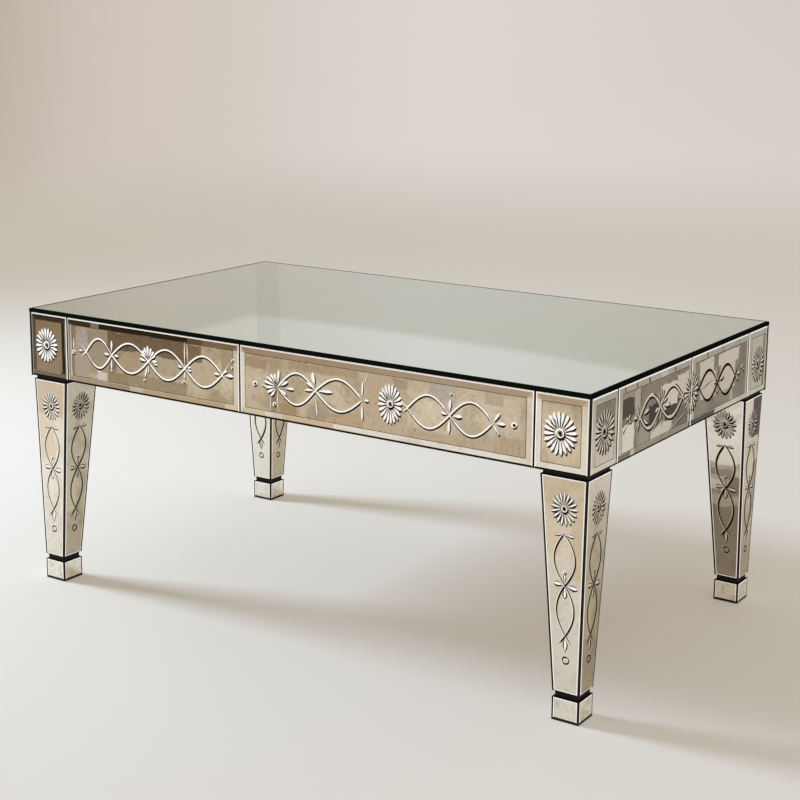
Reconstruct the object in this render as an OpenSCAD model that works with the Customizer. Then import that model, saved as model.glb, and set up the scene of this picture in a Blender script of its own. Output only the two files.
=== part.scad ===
// Mirrored coffee table: a wooden carcass clad in bevelled mirror, on four tapered mirrored legs.
// Millimetres, +Z up, origin on the floor under the middle of the table. The front faces -Y.

/* [Table] */
// Length along X
table_l = 1000; // [900:10:1100]
// Depth along Y
table_w = 600; // [550:10:650]
// Height of the top surface above the floor
table_h = 450; // [420:5:500]

/* [Top] */
// Thickness of the mirror glass on top
top_glass_t = 6; // [5:0.5:8]
// Arris ground along the top glass's upper and lower edges
top_arris = 0.8; // [0.4:0.1:1.2]
// Thickness of the board under the top glass
top_board_t = 16; // [15:1:20]

/* [Apron] */
// Height of the apron, from its boards' lower edges to the top glass
apron_h = 103; // [98:1:112]
// Black edge left below the apron's mirror panels
apron_reveal = 1.5; // [1:0.5:2.5]
// Thickness of the apron's boards
board_t = 18; // [16:1:20]
// Thickness of the bevelled mirror panels
panel_t = 3; // [2.5:0.5:4]
// Width of the bevel round each apron panel
bevel_w = 10; // [8:1:12]
// Fall of the bevel from a panel's face to its edge
bevel_drop = 1; // [0.6:0.1:1.2]
// Width of the corner panels on the long sides
corner_panel_l = 82; // [76:1:90]
// Width of the corner panels on the short sides
corner_panel_w = 78; // [74:1:88]
// Distance from a long side's left end to the seam between its two middle panels
long_seam = 430; // [400:5:500]
// Distance from a short side's left end to the seam between its two middle panels
short_seam = 310; // [280:5:320]
// Gap between neighbouring panels
panel_gap = 1.5; // [0.8:0.1:2]

/* [Black corner beads] */
// How much wider the beads at the apron's and legs' corners are than a panel's thickness
bead_lap = 0.2; // [0.1:0.1:1]
// Set-back of a bead from the faces of the panels beside it
bead_inset = 0.5; // [0.3:0.1:0.8]

/* [Legs] */
// Width of a leg at its top, over its mirror panels
leg_top_w = 70; // [64:1:74]
// Width of a leg at its lower end, over its mirror panels
leg_low_w = 41; // [36:1:46]
// Thickness of the mirror panels on the legs and feet
leg_panel_t = 2; // [1.5:0.5:3]
// Set-back of a leg's outer faces from the apron's, at the top
leg_top_inset = 3.5; // [2:0.5:5]
// Set-back of a leg's outer faces from the apron's, at the lower end
leg_low_inset = 9.5; // [6:0.5:12]
// Black gap between the apron and a leg's mirror panels
collar_h = 5; // [4:0.5:6]
// Ground arris round each foot panel
foot_arris = 2; // [1:0.5:2.5]

/* [Feet] */
// Height of a foot's mirror panels
foot_h = 30; // [24:1:34]
// Height of the black neck between a foot and its leg
neck_h = 8.5; // [6:0.5:10]
// Set-back of the neck from the faces of the foot
neck_inset = 3.5; // [3:0.5:5]
// Thickness of the glide under a foot
glide_t = 2.5; // [2:0.5:4]
// Set-back of a glide from its foot's faces
glide_inset = 0.5; // [0:0.5:4]

/* [Carcass] */
// Length and width of a corner block
block_w = 60; // [56:1:66]
// Height of a corner block
block_h = 50; // [50:1:54]
// Width and height of the cleats under the top board
cleat_w = 20; // [18:1:22]
// Width of the rail across the middle
rail_w = 60; // [40:5:80]

/* [Fasteners] */
// Radius of the bolt that holds a leg
bolt_r = 4; // [3:0.5:4]
// Radius of the threaded insert in a leg
insert_r = 6; // [5.5:0.5:7]
// Radius of a wood screw's shank
screw_r = 2; // [1.5:0.25:2.25]
// Radius of a wood screw's head
screw_head_r = 4; // [3.5:0.25:4.25]
// Radius of the dowels at the apron's corners
dowel_r = 4; // [3:0.5:4]

/* [Hidden] */
$fn = 48;

// Heights of the parts above the floor
apron_z = table_h - top_glass_t - apron_h;      // underside of the apron
board_h = apron_h - top_board_t;                // height of the apron's boards
top_board_z = apron_z + board_h;                // underside of the top board
foot_top_z = glide_t + foot_h;
leg_low_z = foot_top_z + neck_h;                // lower end of a leg's mirror panels
leg_top_z = apron_z - collar_h;                 // upper end of a leg's mirror panels
cleat_z = top_board_z - cleat_w;

// Widths of the beads at the corners of the apron and of the legs
bead_w = panel_t + bead_lap;
leg_bead_w = leg_panel_t + bead_lap;

// Distances in from the apron's outer faces
frame_in = panel_t + board_t;                   // inner face of the apron's boards
bolt_in = leg_top_inset + leg_top_w / 2;        // axis of a leg's bolt

// Leg bolt, insert and flanged nut
insert_h = 25;
insert_well = 5;                                // free depth of the hole under an insert
bolt_tail = 2;                                  // end of a bolt above the insert's lower end
bolt_clear = 0.5;
flange_r = 9;
flange_t = 1.6;
nut_r = 7.5;                                    // across the corners
nut_h = 8;                                      // with its flange
bolt_over = 4;                                  // bolt standing above its nut

// Wood screws: head, length, and the well that sinks the head
screw_head_h = 3;
screw_clear = 0.3;
well_clear = 0.5;
block_screw_l = 42;
block_well = 30;
block_screw_in = frame_in + 45;                 // how far in a corner block's screws stand
block_screw_z = [[8, 30], [19, 41]];            // heights into the long and the short board
top_screw_l = 25;
top_well = 5;

// Cleats and rail under the top board
cleat_end_in = 100;                             // cleats stop short of the corners by this
rail_space = 15;                                // room between the rail and the cleats beside it
cleat_screw_end = 30;                           // outermost screw from a cleat's end
dowel_l = 34;
dowel_in = 7;                                   // near end of a dowel
dowel_z = [22, 65];

function long_cleat_l() = table_l / 2 - cleat_end_in - rail_w / 2 - rail_space;
function long_cleat_x() = rail_w / 2 + rail_space + long_cleat_l() / 2;
function short_cleat_l() = table_w - 2 * cleat_end_in;

// Sides, counted anticlockwise from the front: name, length, corner panel's width, middle seam
SIDES = [
    ["front", table_l, corner_panel_l, long_seam],
    ["right", table_w, corner_panel_w, short_seam],
    ["back", table_l, corner_panel_l, long_seam],
    ["left", table_w, corner_panel_w, short_seam]
];
// The four panels of a side, left to right as seen from outside: name, start and end
function spans(s) = [
    ["left_corner", bead_w, s[2] - panel_gap / 2],
    ["left", s[2] + panel_gap / 2, s[3] - panel_gap / 2],
    ["right", s[3] + panel_gap / 2, s[1] - s[2] - panel_gap / 2],
    ["right_corner", s[1] - s[2] + panel_gap / 2, s[1] - bead_w]
];
// Corners of the table: name, sign of X, sign of Y
CORNERS = [["fl", -1, -1], ["fr", 1, -1], ["br", 1, 1], ["bl", -1, 1]];
// Faces of a leg: name, the axis it looks along (0 is X, 1 is Y) and the sign
FACES = [["front", 1, -1], ["right", 0, 1], ["back", 1, 1], ["left", 0, -1]];

function panel_node(s, p) = str("apron_mirror_", s[0], "_", p[0]);
function leg_mirror_node(c, f) = str("leg_mirror_", c[0], "_", f[0]);

// ---- shared shapes ----

// Places children drawn against a side: X runs right along its outer face, Y runs inwards
module on_side(i) {
    ends = [[-1, -1], [1, -1], [1, 1], [-1, 1]];
    translate([ends[i][0] * table_l / 2, ends[i][1] * table_w / 2, apron_z])
        rotate(90 * i) children();
}

// Places children drawn in a corner: X and Y both run inwards from the apron's outer faces
module in_corner(c) {
    translate([c[1] * table_l / 2, c[2] * table_w / 2, 0])
        mirror([c[1] > 0 ? 1 : 0, 0, 0]) mirror([0, c[2] > 0 ? 1 : 0, 0]) children();
}

// Children with X and Y swapped
module swapped(swap) {
    if (swap) mirror([1, -1, 0]) children();
    else children();
}

// A prism along Y whose outline is given in X and Z
module along_y(l, outline) {
    translate([0, l, 0]) rotate([90, 0, 0]) linear_extrude(l) polygon(outline);
}

// A prism along X whose outline is given in Y and Z
module along_x(l, outline) {
    rotate([90, 0, 90]) linear_extrude(l) polygon(outline);
}

// An upright plate with its face at y = 0 and all four edges bevelled, w wide and h high
module bevelled_plate(w, h, t, bevel, drop) {
    intersection() {
        linear_extrude(h)
            polygon([[0, drop], [bevel, 0], [w - bevel, 0], [w, drop], [w, t], [0, t]]);
        along_x(w, [[drop, 0], [0, bevel], [0, h - bevel], [drop, h], [t, h], [t, 0]]);
    }
}

// Outline of a slab's section with a 45 degree arris along both long edges
function arris_section(w, t, a) = [
    [-w / 2, a], [-w / 2 + a, 0], [w / 2 - a, 0], [w / 2, a],
    [w / 2, t - a], [w / 2 - a, t], [a - w / 2, t], [-w / 2, t - a]
];

// Outline, in X and Z, of a leg between the lines from_top..to_top and from_low..to_low
function leg_outline(from_low, to_low, from_top, to_top) = [
    [from_low, leg_low_z], [to_low, leg_low_z], [to_top, leg_top_z], [from_top, leg_top_z]
];

// The outline of a leg, seen square on and taken in by a margin on both sides
function leg_profile(margin) = leg_outline(
    leg_low_inset + margin, leg_low_inset + leg_low_w - margin,
    leg_top_inset + margin, leg_top_inset + leg_top_w - margin
);

// The outline of the panel on a leg's outer or inner face, seen edge on, standing proud by some more
function leg_panel_outline(outer, proud = 0) = outer
    ? leg_outline(
        leg_low_inset - proud, leg_low_inset + leg_panel_t,
        leg_top_inset - proud, leg_top_inset + leg_panel_t
    )
    : leg_outline(
        leg_low_inset + leg_low_w - leg_panel_t, leg_low_inset + leg_low_w + proud,
        leg_top_inset + leg_top_w - leg_panel_t, leg_top_inset + leg_top_w + proud
    );

// A wood screw along +Z: its head starts at z = 0, and its shank runs on from there
module wood_screw(l) {
    cylinder(h = screw_head_h, r = screw_head_r);
    cylinder(h = screw_head_h + l, r = screw_r);
}

// The hole for such a screw: a well for the head, a clear hole, then a tight one
module screw_hole(well, clear_l, l) {
    translate([0, 0, screw_head_h - well]) cylinder(h = well, r = screw_head_r + well_clear);
    translate([0, 0, screw_head_h]) cylinder(h = clear_l, r = screw_r + screw_clear);
    cylinder(h = screw_head_h + l, r = screw_r);
}

// A corner block's screws, in the corner's own frame: two into each board
module at_block_screws() {
    for (i = [0, 1]) for (z = block_screw_z[i])
        swapped(i == 1)
            translate([block_screw_in, frame_in + block_w - block_well + screw_head_h, apron_z + z])
                rotate([90, 0, 0]) children();
}

// The screws that hold the top: along each cleat, and at both ends of the rail
module at_top_screws() {
    head_z = cleat_z + top_well - screw_head_h;
    long_y = table_w / 2 - frame_in - cleat_w / 2;
    short_x = table_l / 2 - frame_in - cleat_w / 2;
    long_step = long_cleat_l() / 2 - cleat_screw_end;
    for (sy = [-1, 1]) for (sx = [-1, 1]) for (k = [-1, 0, 1])
        translate([sx * (long_cleat_x() + k * long_step), sy * long_y, head_z]) children();
    for (sx = [-1, 1]) for (k = [-1, 1])
        translate([sx * short_x, k * (short_cleat_l() / 2 - cleat_screw_end), head_z]) children();
    for (sy = [-1, 1]) translate([0, sy * table_w / 4, head_z]) children();
}

module top_screw_holes() {
    at_top_screws() screw_hole(top_well, cleat_w - top_well, top_screw_l);
}

// The dowels at a side's two ends, running inwards from the long boards
module side_dowels() {
    for (x = [frame_in - board_t / 2, table_l - frame_in + board_t / 2]) for (z = dowel_z)
        translate([x, dowel_in, z]) rotate([-90, 0, 0]) cylinder(h = dowel_l, r = dowel_r);
}

module all_dowels() {
    for (i = [0, 2]) on_side(i) side_dowels();
}

// ---- top ----

module top_mirror() {
    color([0.77, 0.78, 0.74])
    translate([0, 0, table_h - top_glass_t])
        intersection() {
            translate([0, -table_w / 2, 0]) along_y(table_w, arris_section(table_l, top_glass_t, top_arris));
            translate([-table_l / 2, 0, 0]) along_x(table_l, arris_section(table_w, top_glass_t, top_arris));
        }
}

module top_board() {
    color([0.12, 0.11, 0.10])
    difference() {
        translate([-table_l / 2 + panel_t, -table_w / 2 + panel_t, top_board_z])
            cube([table_l - 2 * panel_t, table_w - 2 * panel_t, top_board_t]);
        top_screw_holes();
    }
}

module top_cleats() {
    color([0.66, 0.53, 0.37])
    difference() {
        union() {
            for (sy = [-1, 1]) for (sx = [-1, 1])
                translate([
                    sx * long_cleat_x() - long_cleat_l() / 2,
                    sy * (table_w / 2 - frame_in - cleat_w / 2) - cleat_w / 2,
                    cleat_z
                ]) cube([long_cleat_l(), cleat_w, cleat_w]);
            for (sx = [-1, 1])
                translate([
                    sx * (table_l / 2 - frame_in - cleat_w / 2) - cleat_w / 2,
                    -short_cleat_l() / 2,
                    cleat_z
                ]) cube([cleat_w, short_cleat_l(), cleat_w]);
        }
        top_screw_holes();
    }
}

module cross_rail() {
    rail_l = table_w - 2 * frame_in;
    color([0.66, 0.53, 0.37])
    difference() {
        translate([-rail_w / 2, -rail_l / 2, cleat_z]) cube([rail_w, rail_l, cleat_w]);
        top_screw_holes();
    }
}

module top_screws() {
    color([0.62, 0.62, 0.60]) at_top_screws() wood_screw(top_screw_l);
}

// ---- apron ----

// The long boards run the full length, and the short boards stand between them
module apron_board(i) {
    start = i % 2 == 0 ? panel_t : frame_in;
    color([0.14, 0.13, 0.12])
    difference() {
        on_side(i) translate([start, panel_t, 0]) cube([SIDES[i][1] - 2 * start, board_t, board_h]);
        all_dowels();
        for (c = CORNERS) in_corner(c) at_block_screws() screw_hole(block_well, 0, block_screw_l);
    }
}

module apron_mirror(i, p) {
    color([0.78, 0.71, 0.60])
    on_side(i) translate([p[1], 0, apron_reveal])
        bevelled_plate(p[2] - p[1], apron_h - apron_reveal, panel_t, bevel_w, bevel_drop);
}

// A strip up each corner, outside the boards and between the ends of the panels
module corner_beads() {
    color([0.04, 0.04, 0.04])
    for (c = CORNERS) in_corner(c) translate([0, 0, apron_z]) difference() {
        translate([bead_inset, bead_inset, 0]) cube([bead_w - bead_inset, bead_w - bead_inset, apron_h]);
        translate([panel_t, panel_t, -1]) cube([bead_w, bead_w, apron_h + 2]);
    }
}

module apron_dowels() {
    color([0.80, 0.68, 0.48]) all_dowels();
}

module corner_block(c) {
    color([0.66, 0.53, 0.37])
    in_corner(c) difference() {
        translate([frame_in, frame_in, apron_z]) cube([block_w, block_w, block_h]);
        translate([bolt_in, bolt_in, apron_z - 1]) cylinder(h = block_h + 2, r = bolt_r + bolt_clear);
        at_block_screws() screw_hole(block_well + 1, block_screw_l, block_screw_l);
    }
}

module block_screws() {
    color([0.62, 0.62, 0.60])
    for (c = CORNERS) in_corner(c) at_block_screws() wood_screw(block_screw_l);
}

// ---- legs and feet ----

// The panel on a leg's outer or inner X face: it fits between the beads at the leg's corners
module leg_panel(outer, proud = 0) {
    reach = leg_top_inset + leg_top_w;
    intersection() {
        along_y(reach, leg_panel_outline(outer, proud));
        along_x(reach + proud, leg_profile(leg_bead_w));
    }
}

// Places children against each of a foot's four faces, X running along the face
module at_foot_faces() {
    middle = leg_low_inset + leg_low_w / 2;
    for (k = [0:3]) translate([middle, middle, glide_t]) rotate(90 * k)
        translate([leg_bead_w - leg_low_w / 2, -leg_low_w / 2, 0]) children();
}

// One piece of wood: collar under the apron, tapered shaft, neck and foot. Shaft and foot are
// rebated for their panels, which leaves a black bead at every corner.
module leg_core(c) {
    reach = leg_top_inset + leg_top_w;
    neck_in = leg_low_inset + neck_inset;
    neck_w = leg_low_w - 2 * neck_inset;
    foot_in = leg_low_inset + bead_inset;
    foot_w = leg_low_w - 2 * bead_inset;
    collar_in = leg_top_inset + panel_t;
    collar_w = leg_top_w - 2 * panel_t;
    color([0.05, 0.05, 0.05])
    in_corner(c) difference() {
        union() {
            difference() {
                translate([foot_in, foot_in, glide_t]) cube([foot_w, foot_w, foot_h]);
                at_foot_faces() translate([0, -1, -1])
                    cube([leg_low_w - 2 * leg_bead_w, leg_panel_t + 1, foot_h + 2]);
            }
            translate([neck_in, neck_in, foot_top_z]) cube([neck_w, neck_w, neck_h]);
            difference() {
                intersection() {
                    along_y(reach, leg_profile(bead_inset));
                    along_x(reach, leg_profile(bead_inset));
                }
                for (swap = [false, true]) for (outer = [false, true]) swapped(swap) leg_panel(outer, 1);
            }
            translate([collar_in, collar_in, leg_top_z]) cube([collar_w, collar_w, collar_h]);
        }
        translate([bolt_in, bolt_in, apron_z - insert_h - insert_well])
            cylinder(h = insert_h + insert_well + 1, r = insert_r);
    }
}

module leg_mirror(c, f) {
    color([0.83, 0.78, 0.69])
    in_corner(c) swapped(f[1] == 1) leg_panel(c[f[1] + 1] == f[2]);
}

// Four plain panels round a foot
module foot_mirrors(c) {
    color([0.83, 0.78, 0.69])
    in_corner(c) at_foot_faces()
        bevelled_plate(leg_low_w - 2 * leg_bead_w, foot_h, leg_panel_t, foot_arris, foot_arris / 4);
}

module foot_glides() {
    glide_in = leg_low_inset + glide_inset;
    glide_w = leg_low_w - 2 * glide_inset;
    color([0.20, 0.19, 0.18])
    for (c = CORNERS) in_corner(c) translate([glide_in, glide_in, 0]) cube([glide_w, glide_w, glide_t]);
}

// ---- leg fasteners ----

module at_bolts(z) {
    for (c = CORNERS) in_corner(c) translate([bolt_in, bolt_in, z]) children();
}

module leg_inserts() {
    color([0.78, 0.63, 0.33])
    at_bolts(apron_z - insert_h) difference() {
        cylinder(h = insert_h, r = insert_r);
        translate([0, 0, -1]) cylinder(h = insert_h + 2, r = bolt_r);
    }
}

module leg_bolts() {
    bolt_l = insert_h - bolt_tail + block_h + nut_h + bolt_over;
    color([0.62, 0.62, 0.60]) at_bolts(apron_z - insert_h + bolt_tail) cylinder(h = bolt_l, r = bolt_r);
}

module leg_nuts() {
    color([0.62, 0.62, 0.60])
    at_bolts(apron_z + block_h) difference() {
        union() {
            cylinder(h = flange_t, r = flange_r);
            cylinder(h = nut_h, r = nut_r, $fn = 6);
        }
        translate([0, 0, -1]) cylinder(h = nut_h + 2, r = bolt_r);
    }
}

// ---- drawing ----

top_mirror();
top_board();
top_cleats();
cross_rail();
top_screws();
for (i = [0:3]) apron_board(i);
for (i = [0:3]) for (p = spans(SIDES[i]))
    apron_mirror(i, p);
corner_beads();
apron_dowels();
for (c = CORNERS) corner_block(c);
block_screws();
for (c = CORNERS) leg_core(c);
for (c = CORNERS) for (f = FACES)
    leg_mirror(c, f);
for (c = CORNERS) foot_mirrors(c);
foot_glides();
leg_inserts();
leg_bolts();
leg_nuts();
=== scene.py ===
import math
import bpy
from mathutils import Matrix, Vector
from mathutils.geometry import delaunay_2d_cdt


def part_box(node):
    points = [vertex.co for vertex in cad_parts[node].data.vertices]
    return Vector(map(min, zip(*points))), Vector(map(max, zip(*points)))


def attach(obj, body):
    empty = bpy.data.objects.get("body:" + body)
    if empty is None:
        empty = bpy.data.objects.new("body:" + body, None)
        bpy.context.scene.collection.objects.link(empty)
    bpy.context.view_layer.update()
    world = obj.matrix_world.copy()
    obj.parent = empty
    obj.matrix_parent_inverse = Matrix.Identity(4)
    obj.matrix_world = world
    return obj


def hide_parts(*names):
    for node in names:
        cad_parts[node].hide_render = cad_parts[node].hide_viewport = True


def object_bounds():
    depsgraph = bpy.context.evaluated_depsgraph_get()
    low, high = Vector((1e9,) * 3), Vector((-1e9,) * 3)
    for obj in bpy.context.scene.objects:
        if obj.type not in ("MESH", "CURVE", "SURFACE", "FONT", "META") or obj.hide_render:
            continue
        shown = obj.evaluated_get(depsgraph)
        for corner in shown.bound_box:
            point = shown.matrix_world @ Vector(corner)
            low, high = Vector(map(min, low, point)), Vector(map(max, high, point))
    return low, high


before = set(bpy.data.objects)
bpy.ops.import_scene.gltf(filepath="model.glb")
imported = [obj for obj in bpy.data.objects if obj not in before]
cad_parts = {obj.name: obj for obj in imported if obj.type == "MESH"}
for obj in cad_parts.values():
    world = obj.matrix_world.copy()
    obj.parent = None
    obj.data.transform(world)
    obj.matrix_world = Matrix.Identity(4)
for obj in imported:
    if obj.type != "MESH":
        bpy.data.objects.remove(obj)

# A mirrored coffee table: engraved mirror panels on a black wooden carcass.
# Engraving is laid out in millimetres on a panel's face; everything else is in metres.

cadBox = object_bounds()
scene = bpy.context.scene
mm = 0.001
up = Vector((0, 0, 1))

corners = ["fl", "fr", "br", "bl"]
sides = {
    "front": {"right": Vector((1, 0, 0)), "out": Vector((0, -1, 0))},
    "right": {"right": Vector((0, 1, 0)), "out": Vector((1, 0, 0))},
    "back": {"right": Vector((-1, 0, 0)), "out": Vector((0, 1, 0))},
    "left": {"right": Vector((0, -1, 0)), "out": Vector((-1, 0, 0))},
}


# Small helpers for node trees
def addNode(tree, kind, inputs=None, **settings):
    node = tree.nodes.new(kind)
    for name, value in settings.items():
        setattr(node, name, value)
    for name, value in (inputs or {}).items():
        node.inputs[name].default_value = value
    return node


def link(tree, fromSocket, toSocket):
    tree.links.new(fromSocket, toSocket)


def objectCoords(tree, scale=(1, 1, 1), location=(0, 0, 0)):
    coords = addNode(tree, "ShaderNodeTexCoord")
    mapping = addNode(tree, "ShaderNodeMapping", {"Scale": scale, "Location": location})
    link(tree, coords.outputs["Object"], mapping.inputs["Vector"])
    return mapping.outputs["Vector"]


# A maths or vector maths node; each input is a socket or a value
def operate(tree, operation, *values, vector=False, out=0):
    node = addNode(tree, "ShaderNodeVectorMath" if vector else "ShaderNodeMath", operation=operation)
    for index, value in enumerate(values):
        if hasattr(value, "links"):
            link(tree, value, node.inputs[index])
        elif value is not None:
            node.inputs[index].default_value = value
    return node.outputs[out]


def apart(tree, vector):
    node = addNode(tree, "ShaderNodeSeparateXYZ")
    link(tree, vector, node.inputs["Vector"])
    return node.outputs


def together(tree, x, y):
    node = addNode(tree, "ShaderNodeCombineXYZ")
    link(tree, x, node.inputs["X"])
    link(tree, y, node.inputs["Y"])
    return node.outputs["Vector"]


def noise(tree, vector, scale, detail=3, rough=0.5, distortion=0.0):
    node = addNode(tree, "ShaderNodeTexNoise", {
        "Scale": scale, "Detail": detail, "Roughness": rough, "Distortion": distortion})
    link(tree, vector, node.inputs["Vector"])
    return node


def ramp(tree, value, stops, smooth=False):
    node = addNode(tree, "ShaderNodeValToRGB")
    node.color_ramp.interpolation = "EASE" if smooth else "LINEAR"
    while len(node.color_ramp.elements) < len(stops):
        node.color_ramp.elements.new(0.5)
    for element, (place, tone) in zip(node.color_ramp.elements, stops):
        element.position = place
        element.color = tone if len(tone) == 4 else (*tone, 1)
    link(tree, value, node.inputs["Fac"])
    return node.outputs["Color"]


def grey(value):
    return (value, value, value)


def mix(tree, kind, amount, first, second):
    node = addNode(tree, "ShaderNodeMix", data_type="RGBA", blend_type=kind)
    ends = [(0, amount), (6, first), (7, second)]
    for index, value in ends:
        if hasattr(value, "links"):
            link(tree, value, node.inputs[index])
        else:
            node.inputs[index].default_value = value
    return node.outputs[2]


def newMaterial(name, base=grey(0.8), metallic=0.0, roughness=0.4, specular=0.5):
    material = bpy.data.materials.new(name)
    material.use_nodes = True
    tree = material.node_tree
    shader = tree.nodes["Principled BSDF"]
    shader.inputs["Base Color"].default_value = (*base, 1)
    shader.inputs["Metallic"].default_value = metallic
    shader.inputs["Roughness"].default_value = roughness
    shader.inputs["Specular IOR Level"].default_value = specular
    return material, tree, shader


def addBump(tree, shader, height, strength, distance):
    bump = addNode(tree, "ShaderNodeBump", {"Strength": strength, "Distance": distance})
    link(tree, height, bump.inputs["Height"])
    link(tree, bump.outputs["Normal"], shader.inputs["Normal"])


# Old silvering with painted reflections: fade, patches and run paint the room's reflections into the silver's
# colour, along with its mottled wear. Places are millimetres along X (0) or Y (1) from the table's lower end,
# and up from the floor. fade is the tone at each height, patches are (from, to, bottom, top, tone), laid on
# in that order, and run tints the whole along the side as painted reflected light. wander and soft bend and
# blur a patch's edge.
longSilver = {
    "name": "silverLong", "along": 0, "wander": 8.0, "soft": 2.2, "veins": 0.55, "cloud": 0.24,
    "run": [(0, (0.80, 0.79, 0.79)), (430, (0.90, 0.90, 0.91)), (680, (1.0, 1.02, 1.05)),
            (820, (1.08, 1.14, 1.24)), (1000, (1.05, 1.08, 1.14))],
    "fade": [(341, (0.66, 0.52, 0.36)), (400, (0.80, 0.67, 0.49)), (445, (0.64, 0.49, 0.33))],
    "patches": [
        (0, 78, 330, 450, (0.42, 0.32, 0.20)), (78, 99, 340, 440, (0.40, 0.30, 0.19)),
        (100, 128, 350, 403, (0.58, 0.48, 0.38)), (103, 128, 403, 432, (0.66, 0.56, 0.49)),
        (128, 169, 360, 432, (0.52, 0.43, 0.30)), (148, 168, 351, 367, (0.88, 0.76, 0.66)),
        (169, 331, 400, 434, (0.26, 0.18, 0.11)), (170, 214, 350, 398, (0.42, 0.32, 0.20)),
        (214, 331, 350, 371, (0.47, 0.36, 0.24)), (185, 245, 372, 405, (0.60, 0.46, 0.31)),
        (262, 320, 378, 408, (0.60, 0.50, 0.35)), (333, 360, 406, 434, (0.31, 0.21, 0.13)),
        (335, 395, 372, 409, (0.70, 0.57, 0.41)), (398, 428, 396, 432, (0.54, 0.43, 0.29)),
        (488, 501, 350, 402, (0.44, 0.33, 0.19)), (504, 533, 351, 368, (0.50, 0.36, 0.20)),
        (440, 482, 414, 430, (0.56, 0.42, 0.28)), (520, 640, 421, 433, (0.58, 0.43, 0.28)),
        (596, 651, 350, 373, (0.62, 0.46, 0.29)), (655, 722, 350, 432, (0.66, 0.51, 0.36)),
        (700, 722, 417, 429, (0.52, 0.40, 0.28)), (758, 800, 408, 436, (0.61, 0.51, 0.41)),
        (722, 911, 346, 366, (0.60, 0.46, 0.31)), (846, 872, 416, 434, (0.60, 0.48, 0.35)),
        (868, 915, 346, 374, (0.58, 0.44, 0.29)),
    ],
}
shortSilver = {
    "name": "silverShort", "along": 1, "wander": 8.0, "soft": 1.6, "veins": 0.30, "cloud": 0.25,
    "run": [(0, (1.02, 1.06, 1.14)), (600, (0.98, 1.05, 1.14))],
    "fade": [(341, (0.33, 0.28, 0.21)), (445, (0.30, 0.25, 0.185))],
    "patches": [
        (0, 77, 345, 407, (0.78, 0.69, 0.57)), (79, 124, 350, 390, (0.94, 0.87, 0.74)),
        (80, 125, 399, 425, (0.07, 0.045, 0.025)), (80, 126, 425, 434, (0.42, 0.36, 0.27)),
        (126, 142, 396, 434, (0.56, 0.48, 0.35)), (140, 172, 354, 378, (0.42, 0.37, 0.29)),
        (170, 203, 374, 402, (0.02, 0.016, 0.010)), (178, 244, 350, 370, (0.80, 0.71, 0.59)),
        (222, 270, 368, 394, (0.035, 0.028, 0.018)), (206, 262, 386, 420, (0.88, 0.79, 0.65)),
        (262, 300, 399, 428, (0.82, 0.73, 0.60)), (262, 306, 350, 381, (0.19, 0.155, 0.105)),
        (337, 387, 398, 434, (0.80, 0.71, 0.58)), (341, 396, 374, 412, (0.76, 0.67, 0.53)),
        (412, 468, 374, 416, (0.78, 0.69, 0.56)), (404, 481, 413, 433, (0.82, 0.74, 0.62)),
        (452, 462, 350, 372, (0.56, 0.50, 0.42)), (524, 578, 345, 436, (0.68, 0.60, 0.47)),
    ],
}
# The bevels' patches paint reflections into the silver: dark and pale strips along the upper and the lower
# bevels
longBevelSilver = {
    "name": "bevelLong", "along": 0, "wander": 1.5, "soft": 0.5, "veins": 0.18, "cloud": 0.12,
    "run": [(0, (0.72, 0.71, 0.73)), (430, (0.86, 0.87, 0.90)), (680, (0.98, 1.0, 1.05)),
            (820, (1.01, 1.06, 1.18)), (1000, (1.06, 1.1, 1.15))],
    "fade": [(341, (0.98, 0.87, 0.72)), (445, (0.98, 0.87, 0.72))],
    "patches": [
        (0, 14, 330, 450, (0.16, 0.12, 0.07)), (66, 77, 345, 440, (0.05, 0.04, 0.025)),
        (77, 90, 340, 440, (0.48, 0.37, 0.25)), (0, 134, 434, 450, (0.11, 0.080, 0.048)),
        (134, 151, 434, 450, (0.56, 0.48, 0.40)), (151, 332, 434, 450, (0.055, 0.042, 0.025)),
        (332, 362, 434, 450, (0.25, 0.19, 0.10)), (362, 429, 434, 450, (0.42, 0.31, 0.20)),
        (429, 1000, 434, 450, (0.72, 0.57, 0.42)), (0, 77, 330, 352, (0.27, 0.20, 0.12)),
        (77, 214, 330, 352, (0.54, 0.41, 0.28)), (169, 212, 330, 352, (0.50, 0.36, 0.23)),
        (214, 241, 330, 352, (0.76, 0.62, 0.45)), (241, 403, 330, 352, (0.64, 0.48, 0.28)),
        (403, 427, 330, 352, (0.92, 0.72, 0.49)), (429, 478, 330, 352, (0.84, 0.70, 0.48)),
        (508, 599, 330, 352, (0.80, 0.60, 0.37)),
    ],
}
shortBevelSilver = {
    "name": "bevelShort", "along": 1, "wander": 1.5, "soft": 0.5, "veins": 0.18, "cloud": 0.12,
    "run": [(0, (1.0, 1.08, 1.2)), (250, (0.86, 0.96, 1.06)), (600, (0.88, 1.02, 1.14))],
    "fade": [(341, (0.86, 0.77, 0.63)), (445, (0.60, 0.54, 0.43))],
    "patches": [
        (0, 78, 330, 352, (0.96, 0.88, 0.75)), (80, 117, 330, 352, (0.24, 0.21, 0.14)),
        (128, 300, 330, 352, (0.39, 0.32, 0.24)), (302, 397, 330, 352, (0.05, 0.035, 0.018)),
        (95, 98, 434, 450, (0.12, 0.10, 0.07)), (130, 133, 434, 450, (0.12, 0.10, 0.07)),
        (168, 172, 434, 450, (0.04, 0.03, 0.02)), (205, 228, 434, 450, (0.80, 0.74, 0.62)),
        (250, 254, 434, 450, (0.14, 0.12, 0.08)), (310, 314, 434, 450, (0.05, 0.04, 0.03)),
        (362, 366, 434, 450, (0.16, 0.14, 0.10)), (418, 421, 434, 450, (0.18, 0.16, 0.11)),
        (483, 485, 434, 450, (0.16, 0.14, 0.10)),
    ],
}
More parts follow.
